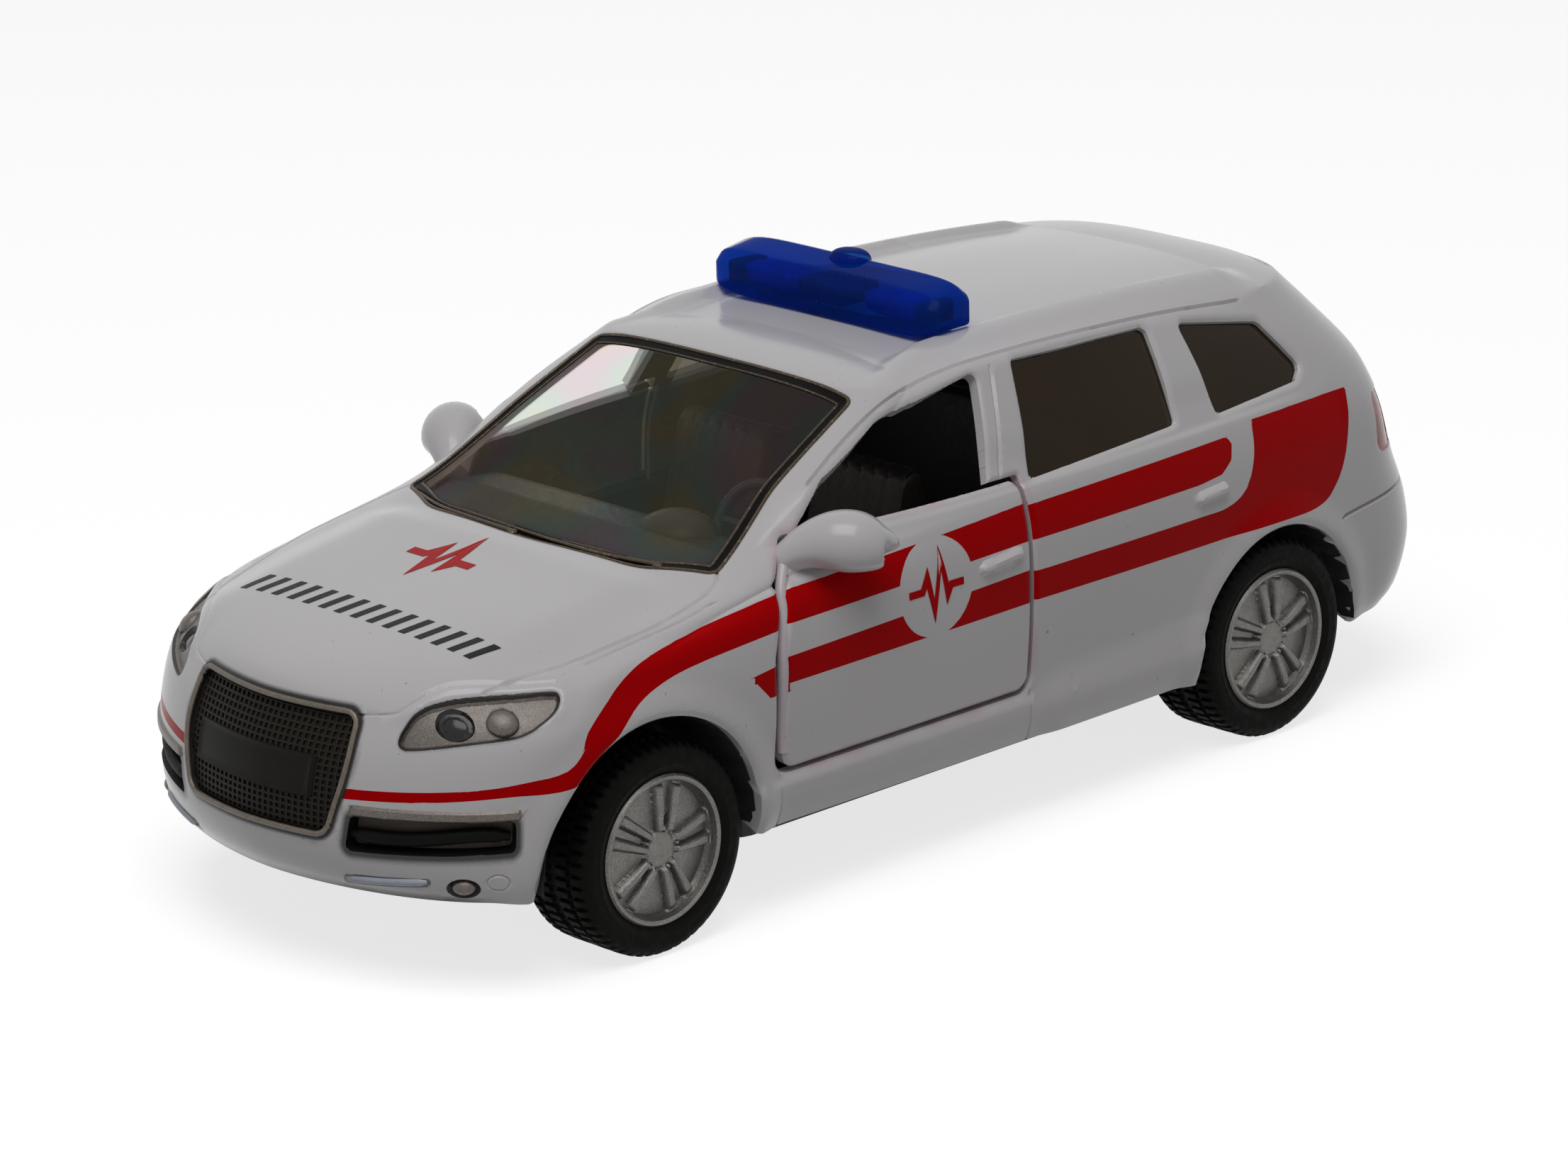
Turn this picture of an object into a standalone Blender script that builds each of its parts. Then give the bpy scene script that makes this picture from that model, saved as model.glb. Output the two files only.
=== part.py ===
"""Die-cast emergency car, about 1:55, built as separate pieces.

Metres, +Z up. The front faces -Y, and +X is the car's left.
"""

import math
from collections import namedtuple

import bmesh
import bpy
import numpy as np
from mathutils import Matrix, Vector

# Overall sizes
BODY_LENGTH = 0.0922
BODY_WIDTH = 0.0360
BODY_HEIGHT = 0.0308
WHEELBASE = 0.0546
FRONT_OVERHANG = 0.0179
ROOF_CROWN = 0.0015
BODY_WALL = 0.0010
FIT_GAP = 0.00015
PART_GAP = 0.0003
FACE_STEP = 0.00005

# Wheels and axles
TYRE_RADIUS = 0.00665
TYRE_WIDTH = 0.0058
RIM_RADIUS = 0.0047
RIM_SEAT_DEPTH = 0.00025
RIM_LIP_WIDTH = 0.0007
RIM_LIP_THICKNESS = 0.00033
RIM_DISH_DEPTH = 0.0013
RIM_DISH_SLOPE = 0.00033
RIM_HUB_RADIUS = 0.0016
RIM_HUB_HEIGHT = 0.0008
RIM_HUB_SLOPE = 0.0003
RIM_HUB_DIMPLE = 0.0004
TYRE_SHOULDER = 0.0009
AXLE_RADIUS = 0.0010
AXLE_END_DEPTH = 0.0022
AXLE_BORE_GAP = 0.00025
WHEEL_INSET = 0.0009
WHEEL_SIDE_GAP = 0.0011
WHEEL_STEPS = 24
ARCH_STEPS = 40
ROD_STEPS = 20
THIN_ROD_STEPS = 16
FRONT_ARCH_GAP = 0.00205
REAR_ARCH_GAP = 0.00130
FRONT_ARCH_SHIFT = 0.0010

# Doors and their hinges
DOOR_SETBACK = 0.0275
DOOR_LENGTH = 0.0212
DOOR_BOTTOM = 0.0093
DOOR_BELT_RISE = 0.00015
DOOR_SHOULDER = 0.0165
DOOR_KNEE_SHARE = 0.6
DOOR_KNEE_LEAN = 0.0013
DOOR_TOP_LEAN = 0.0035
DOOR_CORNER = 0.0010
DOOR_GAP = 0.0003
DOOR_FRONT_GAP = 0.00065
HINGE_SETBACK = 0.0038
HINGE_INSET = 0.00235
HINGE_PIN_RADIUS = 0.00045
HINGE_PIN_GAP = 0.0001
HINGE_BARREL = 0.00078
HINGE_LUG_RISE = 0.0030
HINGE_LUG_HEIGHT = 0.0039
HINGE_EAR = 0.0008
HINGE_WEB = 0.0010
HINGE_PIN_END = 0.0005
MIRROR_WIDTH = 0.0032
MIRROR_LENGTH = 0.0030
MIRROR_HEIGHT = 0.0034
MIRROR_BACK = 0.0054
MIRROR_DROP = 0.0002
MIRROR_OVERHANG = 0.00005
MIRROR_ARM_RADIUS = 0.00055
MIRROR_ARM_LENGTH = 0.0024
MIRROR_ARM_DROP = 0.0008

# Windows. The front window's upper corners are given as the distance behind the door's front edge and the
# share of the window's height.
GLASS_THICKNESS = 0.0008
GLASS_LAP = 0.0011
GLASS_CORNER = 0.0010
GLASS_CLEARANCE = 0.0005
CANT_RAIL = 0.0007
SILL_DROP = 0.00025
SILL_CLIMB = 0.0003
PILLAR_WIDTH = 0.0013
REAR_PILLAR_WIDTH = 0.0042
FRONT_WINDOW_CORNERS = ((0.0160, 0.90), (0.0097, 0.61), (0.0052, 0.22))
FRONT_WINDOW_FOOT = 0.0023
REAR_WINDOW_FRONT_LEAN = 0.0018
REAR_WINDOW_REAR_LEAN = 0.0006
QUARTER_SETBACK = 0.0157
QUARTER_LENGTH = 0.0085
QUARTER_FRONT_LEAN = 0.0005
QUARTER_REAR_LEAN = 0.0022
QUARTER_FOOT = 0.0016
QUARTER_DROP = 0.0008
WINDSCREEN_HALF_TOP = 0.0109
WINDSCREEN_HALF_FOOT = 0.0124
WINDSCREEN_EDGE = 0.0004
WINDSCREEN_SKIRT = 0.0012
TAIL_GLASS_HALF_TOP = 0.0088
TAIL_GLASS_HALF_FOOT = 0.0108
TAIL_GLASS_FOOT = 0.0012
TAIL_GLASS_TOP = 0.0010
GLASS_CUT_IN = 0.0045
GLASS_CUT_OUT = 0.0030
GLASS_TRIM_DEPTH = 0.0050

# Base, interior and fasteners
BASE_BOTTOM = 0.0047
BASE_THICKNESS = 0.0016
BASE_INSET = 0.0030
BASE_TAPER = 0.0020
BASE_CORNER = 0.00125
BASE_WELL_GAP = 0.0012
BASE_NOSE_GAP = 0.0036
BASE_TAIL_GAP = 0.0042
BEARING_LENGTH = 0.0046
BEARING_RISE = 0.0028
TUB_HINGE_GAP = 0.00325
TUB_FRONT_GAP = 0.0010
TUB_REAR_GAP = 0.0022
TUB_WALL = 0.0008
TUB_RISE = 0.0023
TUB_FLOOR_THICKNESS = 0.0010
TUB_RIM = 0.0007
CARGO_LAP = 0.0050
CARGO_INSET = 0.0002
DASH_DEPTH = 0.0042
DASH_RISE = 0.0012
SEAT_WIDTH = 0.0076
SEAT_OFFSET = 0.0062
SEAT_SETBACK = 0.0060
BENCH_SETBACK = 0.0052
BENCH_SIDE_GAP = 0.0006
STEERING_RADIUS = 0.0031
STEERING_TAPER = 0.0003
STEERING_TUBE = 0.00042
STEERING_COLUMN = 0.0005
STEERING_COLUMN_LENGTH = 0.0044
STEERING_SOCKET_GAP = 0.0004
STEERING_SETBACK = 0.0086
STEERING_RISE = 0.0013
STEERING_TILT = 62.0
POST_RADIUS = 0.0017
RIVET_RADIUS = 0.0006
RIVET_HEAD = 0.0012
RIVET_HEAD_THICKNESS = 0.0006
RIVET_WELL_DEPTH = 0.0009
RIVET_GRIP = 0.0050
REAR_POST_GAP = 0.0021
POST_SINK = 0.0003

# Light bar and grille
LIGHT_BAR_LENGTH = 0.0208
LIGHT_BAR_DEPTH = 0.0044
LIGHT_BAR_HEIGHT = 0.0026
LIGHT_BAR_RISE = 0.0004
LIGHT_BAR_SETBACK = 0.0502
LIGHT_BAR_ROUND = 0.0009
LIGHT_BAR_ROUND_STEPS = 3
LIGHT_BAR_PEG = 0.0009
LIGHT_BAR_PEG_SPACING = 0.0100
LIGHT_BAR_PEG_DEPTH = 0.0018
LIGHT_BAR_FOOT_LENGTH = 0.0150
LIGHT_BAR_FOOT_DEPTH = 0.0030
LIGHT_BAR_FOOT_HEIGHT = 0.0006
GRILLE_DROP = 0.0010
GRILLE_BOTTOM = 0.0095
GRILLE_HALF_TOP = 0.0071
GRILLE_HALF_FOOT = 0.0060
GRILLE_CORNER = 0.0009
GRILLE_FLANGE = 0.0008
GRILLE_THICKNESS = 0.0008
GRILLE_REACH = 0.0070

# Levels of the body, from the hem up. Each line, in millimetres: at the nose its setback, height and
# roundness; at the front corner its inset, setback and height; at the side its inset and height; at the rear
# corner its inset, setback and height; at the tail its setback, height and roundness. The heights are for a
# body of BODY_HEIGHT and go up and down with it.
MM = 0.001
Level = namedtuple("Level", "nose front side rear tail")
BODY_LEVELS = [Level(*row) for row in (
    ((1.5, 5.9, 1.8), (1.8, 9.3, 5.9), (1.1, 5.9), (1.8, 11.5, 5.9), (2.5, 5.9, 2.6)),
    ((0.6, 7.0, 1.8), (1.3, 9.5, 7.0), (0.7, 7.0), (1.4, 11.3, 7.0), (1.2, 7.0, 2.7)),
    ((0.0, 8.9, 1.8), (0.9, 9.9, 9.9), (0.4, 9.8), (1.0, 11.1, 10.0), (0.0, 10.0, 2.7)),
    ((0.4, 13.0, 1.8), (0.6, 10.5, 13.1), (0.1, 13.2), (0.9, 11.3, 13.0), (0.3, 13.0, 2.6)),
    ((1.7, 16.0, 1.8), (0.7, 11.5, 16.0), (0.0, 16.5), (1.0, 11.6, 16.3), (1.5, 16.2, 2.4)),
    ((2.7, 17.8, 1.75), (1.1, 14.6, 17.9), (0.1, 19.2), (1.3, 12.1, 19.4), (2.7, 19.5, 2.5)),
    ((10.1, 19.3, 2.4), (1.6, 22.1, 19.5), (0.5, 21.2), (1.8, 12.9, 21.6), (3.9, 22.0, 2.6)),
    ((22.9, 21.6, 2.8), (2.0, 32.6, 21.7), (1.1, 22.7), (2.4, 14.3, 23.2), (4.9, 23.6, 2.8)),
    ((31.3, 25.6, 3.0), (3.4, 38.1, 25.7), (2.7, 26.1), (3.9, 16.1, 26.0), (7.7, 26.6, 2.9)),
    ((39.2, 29.3, 3.2), (5.3, 43.6, 29.2), (4.6, 29.7), (5.8, 17.9, 28.7), (9.9, 28.9, 3.0)),
)]
*_, LAMP_TOPS, BONNET, COWL, _, ROOF = BODY_LEVELS
LEVEL_STEPS = (1, 1, 1, 1, 1, 2, 2, 2, 2)
CORNER_STEPS = 6
SIDE_STEPS = 12
CURVE_SAMPLES = 400
ARC_STEPS = 3
ARC_SHARE = 0.49

# The side view of a seat, in millimetres: distance behind its middle, height above the floor's middle and
# rounding.
SEAT_PROFILE = (
    (-5.0, 0.0, 0.0),
    (1.6, 0.0, 0.0),
    (5.0, 11.2, 0.8),
    (4.2, 13.6, 0.6),
    (3.0, 13.2, 0.6),
    (0.8, 4.6, 0.5),
    (-5.0, 4.2, 1.0),
)

# Places worked out from the sizes
NOSE_Y = -BODY_LENGTH / 2
TAIL_Y = BODY_LENGTH / 2
HALF_WIDTH = BODY_WIDTH / 2
RISE = (BODY_HEIGHT - ROOF_CROWN) / ROOF.nose[1]
DOOR_TOP = COWL.side[1] * RISE + DOOR_BELT_RISE
GRILLE_TOP = LAMP_TOPS.nose[1] * RISE - GRILLE_DROP
FRONT_AXLE_Y = NOSE_Y + FRONT_OVERHANG
REAR_AXLE_Y = FRONT_AXLE_Y + WHEELBASE
AXLE_Z = TYRE_RADIUS
WHEEL_FACE_X = HALF_WIDTH - WHEEL_INSET
DOOR_FRONT_Y = NOSE_Y + DOOR_SETBACK
DOOR_REAR_Y = DOOR_FRONT_Y + DOOR_LENGTH
HINGE_X = HALF_WIDTH - HINGE_INSET
HINGE_Y = DOOR_FRONT_Y + HINGE_SETBACK
HINGE_LUG_BOTTOM = DOOR_BOTTOM + HINGE_LUG_RISE
HINGE_LUG_TOP = HINGE_LUG_BOTTOM + HINGE_LUG_HEIGHT
SILL_HEIGHT = DOOR_TOP - SILL_DROP
WINDOW_TOP = ROOF.side[1] * RISE - CANT_RAIL
QUARTER_REAR_Y = TAIL_Y - QUARTER_SETBACK
QUARTER_FRONT_Y = QUARTER_REAR_Y - QUARTER_LENGTH
REAR_WINDOW_FRONT_Y = DOOR_REAR_Y + PILLAR_WIDTH
REAR_WINDOW_REAR_Y = QUARTER_FRONT_Y - REAR_PILLAR_WIDTH
GLASS_FOOT = SILL_HEIGHT - GLASS_LAP
BASE_TOP = BASE_BOTTOM + BASE_THICKNESS
BASE_HALF_MIDDLE = HALF_WIDTH - BASE_INSET
BASE_HALF_END = WHEEL_FACE_X - TYRE_WIDTH - WHEEL_SIDE_GAP
TUB_HALF_WIDTH = HINGE_X - TUB_HINGE_GAP
TUB_FRONT_Y = DOOR_FRONT_Y + TUB_FRONT_GAP
TUB_REAR_Y = REAR_AXLE_Y - TYRE_RADIUS - TUB_REAR_GAP
TUB_FLOOR = BASE_TOP + TUB_RISE
TUB_TOP = HINGE_LUG_TOP + PART_GAP + HINGE_EAR + TUB_RIM
FLOOR_TOP = TUB_FLOOR + TUB_FLOOR_THICKNESS
CARGO_BOTTOM = AXLE_Z + BEARING_RISE + PART_GAP
POST_BOTTOM = BASE_TOP + PART_GAP
POST_BORE = RIVET_RADIUS + FIT_GAP
RIVET_TOP = BASE_BOTTOM + RIVET_GRIP
RIVET_SEAT = BASE_BOTTOM + RIVET_WELL_DEPTH
AXLE_BORE = AXLE_RADIUS + AXLE_BORE_GAP
PIN_BORE = HINGE_PIN_RADIUS + HINGE_PIN_GAP
LIGHT_BAR_Y = NOSE_Y + LIGHT_BAR_SETBACK
LIGHT_BAR_BOTTOM = BODY_HEIGHT + LIGHT_BAR_RISE
OUTSIDE_X = HALF_WIDTH * 1.5
WINDOW_INNER_X = HALF_WIDTH * 0.6

X_AXIS = Vector((1, 0, 0))
Y_AXIS = Vector((0, 1, 0))
Z_AXIS = Vector((0, 0, 1))


def clear_scene():
    for obj in list(bpy.data.objects):
        bpy.data.objects.remove(obj, do_unlink=True)


def new_collection(name):
    collection = bpy.data.collections.new(name)
    bpy.context.scene.collection.children.link(collection)
    return collection


def paint(name, colour, roughness, metallic=0.0):
    """A Principled material."""
    material = bpy.data.materials.new(name)
    material.use_nodes = True
    shader = material.node_tree.nodes["Principled BSDF"]
    shader.inputs["Base Color"].default_value = (*colour, 1.0)
    shader.inputs["Roughness"].default_value = roughness
    shader.inputs["Metallic"].default_value = metallic
    return material


def add_part(name, mesh, material=None):
    """A named piece of the car. Cutters have no material."""
    obj = bpy.data.objects.new(name, mesh)
    if material is None:
        cutters.objects.link(obj)
        obj.hide_render = True
        obj.display_type = "WIRE"
    else:
        parts.objects.link(obj)
        mesh.materials.append(material)
    return obj


def finish_mesh(bm, name):
    bmesh.ops.recalc_face_normals(bm, faces=bm.faces[:])
    mesh = bpy.data.meshes.new(name)
    bm.to_mesh(mesh)
    bm.free()
    return mesh


def box_mesh(name, low, high):
    """A box between two corners."""
    bm = bmesh.new()
    bmesh.ops.create_cube(bm, size=1.0)
    low, high = Vector(low), Vector(high)
    bmesh.ops.scale(bm, vec=high - low, verts=bm.verts)
    bmesh.ops.translate(bm, vec=(low + high) / 2, verts=bm.verts)
    return finish_mesh(bm, name)


def rod_mesh(name, centre, axis, radius, start, end, steps=ROD_STEPS):
    """A round rod along an axis, from start to end measured along it."""
    bm = bmesh.new()
    size = {"radius1": radius, "radius2": radius, "depth": end - start}
    bmesh.ops.create_cone(bm, cap_ends=True, segments=steps, **size)
    turn = axis.to_track_quat("Z", "Y").to_matrix().to_4x4()
    place = Matrix.Translation(Vector(centre) + axis * (start + end) / 2) @ turn
    bmesh.ops.transform(bm, matrix=place, verts=bm.verts)
    return finish_mesh(bm, name)


def rounded(corners):
    """The outline with each corner (a, b, radius) replaced by an arc that keeps to its half of both edges."""
    outline = []
    count = len(corners)
    for index, (a, b, radius) in enumerate(corners):
        here = Vector((a, b))
        before = Vector(corners[index - 1][:2]) - here
        after = Vector(corners[(index + 1) % count][:2]) - here
        if radius == 0:
            outline.append(here)
            continue
        half = before.angle(after) / 2
        reach = min(radius / math.tan(half), before.length * ARC_SHARE, after.length * ARC_SHARE)
        radius = reach * math.tan(half)
        middle = here + (before.normalized() + after.normalized()).normalized() * radius / math.sin(half)
        first = here + before.normalized() * reach - middle
        last = here + after.normalized() * reach - middle
        sweep = first.angle_signed(last)
        for step in range(ARC_STEPS + 1):
            outline.append(middle + Matrix.Rotation(-sweep * step / ARC_STEPS, 2) @ first)
    return outline


def prism_mesh(name, outline, origin, across, up, start, end):
    """A flat outline, drawn along across and up from origin, pushed from start to end along their normal."""
    normal = across.cross(up)
    bm = bmesh.new()
    rim = [bm.verts.new(Vector(origin) + across * a + up * b + normal * start) for a, b in outline]
    face = bm.faces.new(rim)
    pushed = bmesh.ops.extrude_face_region(bm, geom=[face])
    moved = [item for item in pushed["geom"] if isinstance(item, bmesh.types.BMVert)]
    bmesh.ops.translate(bm, vec=normal * (end - start), verts=moved)
    return finish_mesh(bm, name)


def side_prism(name, outline, side, inner, outer):
    """A prism across the car on one side, from an outline in lengthwise distance and height."""
    start, end = (inner, outer) if side > 0 else (-outer, -inner)
    return prism_mesh(name, outline, (0, 0, 0), Y_AXIS, Z_AXIS, start, end)


def combine(target, tool, operation):
    change = target.modifiers.new(f"{operation.lower()}_{tool.name}", "BOOLEAN")
    change.operation = operation
    change.object = tool
    change.solver = "EXACT"


def cut(target, tool_mesh):
    combine(target, add_part(tool_mesh.name, tool_mesh), "DIFFERENCE")


def join(target, tool_mesh):
    combine(target, add_part(tool_mesh.name, tool_mesh), "UNION")


def ease(share):
    return share * share * (3 - 2 * share)


def round_end(half_width, start_y, end_y, start_z, end_z, roundness):
    """A rounded half end of a level, from the middle of the car to its corner, as close points."""
    turn = np.linspace(0, math.pi / 2, CURVE_SAMPLES)
    x = half_width * np.abs(np.sin(turn)) ** (2 / roundness)
    y = start_y + (end_y - start_y) * np.abs(np.cos(turn)) ** (2 / roundness)
    share = np.linspace(0, 1, CURVE_SAMPLES)
    return np.stack([x, y, end_z + (start_z - end_z) * ease(share)], axis=1)


def bend(end):
    """The index of the point where a rounded end turns past half way from across to along."""
    step = np.abs(np.diff(end, axis=0))
    return int(np.argmax(step[:, 1] > step[:, 0]))


def spaced(line, count):
    """Points at even distances along a line, both ends included."""
    length = np.concatenate([[0], np.cumsum(np.linalg.norm(np.diff(line, axis=0), axis=1))])
    places = np.linspace(0, length[-1], count + 1)
    return np.stack([np.interp(places, length, line[:, axis]) for axis in range(3)], axis=1)


def level_points(level):
    """One level of the body as a line from the nose, round the left side, to the tail."""
    (nose, nose_z, nose_round), front, side, rear, (tail, tail_z, tail_round) = level
    front_x, front_y, front_z = HALF_WIDTH - front[0] * MM, NOSE_Y + front[1] * MM, front[2] * RISE
    side_x, side_z = HALF_WIDTH - side[0] * MM, side[1] * RISE
    rear_x, rear_y, rear_z = HALF_WIDTH - rear[0] * MM, TAIL_Y - rear[1] * MM, rear[2] * RISE
    nose_end = round_end(front_x, front_y, NOSE_Y + nose * MM, front_z, nose_z * RISE, nose_round)
    tail_end = round_end(rear_x, rear_y, TAIL_Y - tail * MM, rear_z, tail_z * RISE, tail_round)
    flank = []
    for along in np.linspace(front_y, rear_y, CURVE_SAMPLES)[1:-1]:
        corner_x, corner_y, corner_z = nose_end[-1] if along < DOOR_REAR_Y else tail_end[-1]
        away = ((along - DOOR_REAR_Y) / (corner_y - DOOR_REAR_Y)) ** 2
        flank.append((side_x + (corner_x - side_x) * away, along, side_z + (corner_z - side_z) * away))
    first, last = bend(nose_end), bend(tail_end)
    left = np.concatenate([nose_end[first:], flank, tail_end[:last - 1:-1]])
    nose_line = spaced(nose_end[:first + 1], CORNER_STEPS)
    side_line = spaced(left, SIDE_STEPS)
    tail_line = spaced(tail_end[:last + 1], CORNER_STEPS)[::-1]
    return np.concatenate([nose_line, side_line[1:-1], tail_line])


def between(first, last, first_knot, last_knot, knot):
    share = ((knot - first_knot) / (last_knot - first_knot))[:, None]
    return first + (last - first) * share


def smooth_levels(levels):
    """Smooth lines up through all the levels, with LEVEL_STEPS steps from each level to the next."""
    padded = [2 * levels[0] - levels[1], *levels, 2 * levels[-1] - levels[-2]]
    rows = []
    for index, steps in enumerate(LEVEL_STEPS):
        p0, p1, p2, p3 = padded[index:index + 4]
        spans = [np.sqrt(np.linalg.norm(b - a, axis=1)) for a, b in ((p0, p1), (p1, p2), (p2, p3))]
        t0 = np.zeros_like(spans[0])
        t1 = spans[0]
        t2 = t1 + spans[1]
        t3 = t2 + spans[2]
        for step in range(steps):
            t = t1 + (t2 - t1) * step / steps
            a1, a2, a3 = between(p0, p1, t0, t1, t), between(p1, p2, t1, t2, t), between(p2, p3, t2, t3, t)
            rows.append(between(between(a1, a2, t0, t2, t), between(a2, a3, t1, t3, t), t1, t2, t))
    rows.append(levels[-1])
    return np.array(rows)


def roof_points(edge):
    """The roof between its edge line and a crowned middle line."""
    front = edge[:CORNER_STEPS + 1]
    side = edge[CORNER_STEPS:CORNER_STEPS + SIDE_STEPS + 1]
    rear = edge[CORNER_STEPS + SIDE_STEPS:][::-1]
    grid = np.zeros((SIDE_STEPS + 1, CORNER_STEPS + 1, 3))
    for column in range(SIDE_STEPS + 1):
        along = column / SIDE_STEPS
        middle = front[0] + (rear[0] - front[0]) * along
        middle[2] += ROOF_CROWN * (1 - (2 * along - 1) ** 2) ** 0.8
        for row in range(CORNER_STEPS + 1):
            out = row / CORNER_STEPS
            spread = np.array((out, out ** 2, out ** 2))
            ends = front[row] + (rear[row] - front[row]) * along
            sides = middle + (side[column] - middle) * spread
            first = front[0] + (front[-1] - front[0]) * spread
            last = rear[0] + (rear[-1] - rear[0]) * spread
            grid[column, row] = ends + sides - first - (last - first) * along
    return grid


def add_grid(bm, grid):
    """Quads over a grid of points."""
    verts = [[bm.verts.new(point) for point in line] for line in grid]
    for low, high in zip(verts, verts[1:]):
        for a, b, c, d in zip(low, low[1:], high[1:], high):
            bm.faces.new((a, b, c, d))


def body_skin(name, material, inset, thickness):
    """The left half of the body's outer surface, mirrored, moved in by inset and given a thickness."""
    wall = smooth_levels([level_points(level) for level in BODY_LEVELS])
    bm = bmesh.new()
    add_grid(bm, wall)
    add_grid(bm, roof_points(wall[-1]))
    bmesh.ops.remove_doubles(bm, verts=bm.verts, dist=FIT_GAP / 100)
    mesh = bpy.data.meshes.new(name)
    bm.to_mesh(mesh)
    bm.free()
    obj = add_part(name, mesh, material)
    mirror = obj.modifiers.new("mirror", "MIRROR")
    mirror.merge_threshold = FIT_GAP / 100
    if inset:
        move = obj.modifiers.new("inset", "DISPLACE")
        move.mid_level = 0.0
        move.strength = -inset
    solid = obj.modifiers.new("wall", "SOLIDIFY")
    solid.thickness = thickness
    solid.offset = -1.0
    obj.modifiers.new("flat_faces", "TRIANGULATE")
    return obj


def door_outline(gap=0.0, front_gap=0.0):
    """The door's edge in lengthwise distance and height, or the edge of its opening with the gaps added."""
    front, rear = DOOR_FRONT_Y - front_gap, DOOR_REAR_Y + gap
    bottom, top = DOOR_BOTTOM - gap, DOOR_TOP + gap
    knee = DOOR_SHOULDER + (DOOR_TOP - DOOR_SHOULDER) * DOOR_KNEE_SHARE
    return [
        (front, bottom, DOOR_CORNER + gap),
        (rear, bottom, DOOR_CORNER + gap),
        (rear, top, DOOR_CORNER),
        (front + DOOR_TOP_LEAN, top, DOOR_CORNER),
        (front + DOOR_KNEE_LEAN, knee, DOOR_CORNER),
        (front, DOOR_SHOULDER, DOOR_CORNER),
    ]


def front_window_corners():
    """The corners of the open front window along the roof and the pillar, from the rear to the front."""
    height = WINDOW_TOP - DOOR_TOP
    return [(DOOR_FRONT_Y + along, DOOR_TOP + height * share) for along, share in FRONT_WINDOW_CORNERS]


def opening_outline():
    """The edge of the opening in the body: the door's with its gaps, and the open window above it."""
    lower = door_outline(DOOR_GAP, DOOR_FRONT_GAP)
    window = [
        (DOOR_REAR_Y - FRONT_WINDOW_FOOT, DOOR_TOP + DOOR_GAP, DOOR_GAP),
        (DOOR_REAR_Y - DOOR_GAP, WINDOW_TOP, GLASS_CORNER),
    ]
    window += [(y, z, GLASS_CORNER) for y, z in front_window_corners()]
    return lower[:3] + window + lower[4:]


def rear_window_outline():
    return [
        (REAR_WINDOW_FRONT_Y, SILL_HEIGHT, GLASS_CORNER),
        (REAR_WINDOW_REAR_Y - REAR_WINDOW_REAR_LEAN, SILL_HEIGHT + SILL_CLIMB, GLASS_CORNER),
        (REAR_WINDOW_REAR_Y, WINDOW_TOP - SILL_CLIMB, GLASS_CORNER),
        (REAR_WINDOW_FRONT_Y + REAR_WINDOW_FRONT_LEAN, WINDOW_TOP, GLASS_CORNER),
    ]


def quarter_window_outline():
    foot = SILL_HEIGHT + SILL_CLIMB
    return [
        (QUARTER_FRONT_Y, foot, GLASS_CORNER),
        (QUARTER_REAR_Y - QUARTER_FOOT, foot, GLASS_CORNER),
        (QUARTER_REAR_Y, foot + GLASS_CORNER, GLASS_CORNER),
        (QUARTER_REAR_Y - QUARTER_REAR_LEAN, WINDOW_TOP - QUARTER_REAR_LEAN, GLASS_CORNER),
        (QUARTER_FRONT_Y - QUARTER_FRONT_LEAN, WINDOW_TOP - QUARTER_DROP, GLASS_CORNER),
    ]


def mirrored_trapezium(half_foot, half_top, foot, top, corner):
    return [
        (-half_foot, foot, corner),
        (half_foot, foot, corner),
        (half_top, top, corner),
        (-half_top, top, corner),
    ]


def nose_point(level):
    """The middle of a level at the nose."""
    return Vector((0, NOSE_Y + level.nose[0] * MM, level.nose[1] * RISE))


def tail_point(level):
    """The middle of a level at the tail."""
    return Vector((0, TAIL_Y - level.tail[0] * MM, level.tail[1] * RISE))


def glass_prism(name, foot, top, across, half_foot, half_top, foot_lap, top_lap):
    """A cutter square to the windscreen or the tail window, from its foot to its top."""
    up = (top - foot).normalized()
    height = (top - foot).length
    outline = rounded(mirrored_trapezium(half_foot, half_top, foot_lap, height - top_lap, GLASS_CORNER))
    return prism_mesh(name, outline, foot, across, up, -GLASS_CUT_IN, GLASS_CUT_OUT)


def grille_outline(margin):
    """The grille's edge in width and height, let out by a margin."""
    return rounded(mirrored_trapezium(
        GRILLE_HALF_FOOT + margin, GRILLE_HALF_TOP + margin, GRILLE_BOTTOM - margin, GRILLE_TOP + margin,
        GRILLE_CORNER + margin,
    ))


def grille_prism(name, margin):
    start, end = -NOSE_Y - GRILLE_REACH, -NOSE_Y + BODY_WALL
    return prism_mesh(name, grille_outline(margin), (0, 0, 0), X_AXIS, Z_AXIS, start, end)


def posts():
    """Each post's word, its place along the car and its top, just inside the body's skin."""
    front, rear = nose_point(BONNET), tail_point(BONNET)
    return (
        ("front", front.y, front.z - BODY_WALL + POST_SINK),
        ("rear", rear.y - REAR_POST_GAP, rear.z),
    )


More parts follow.
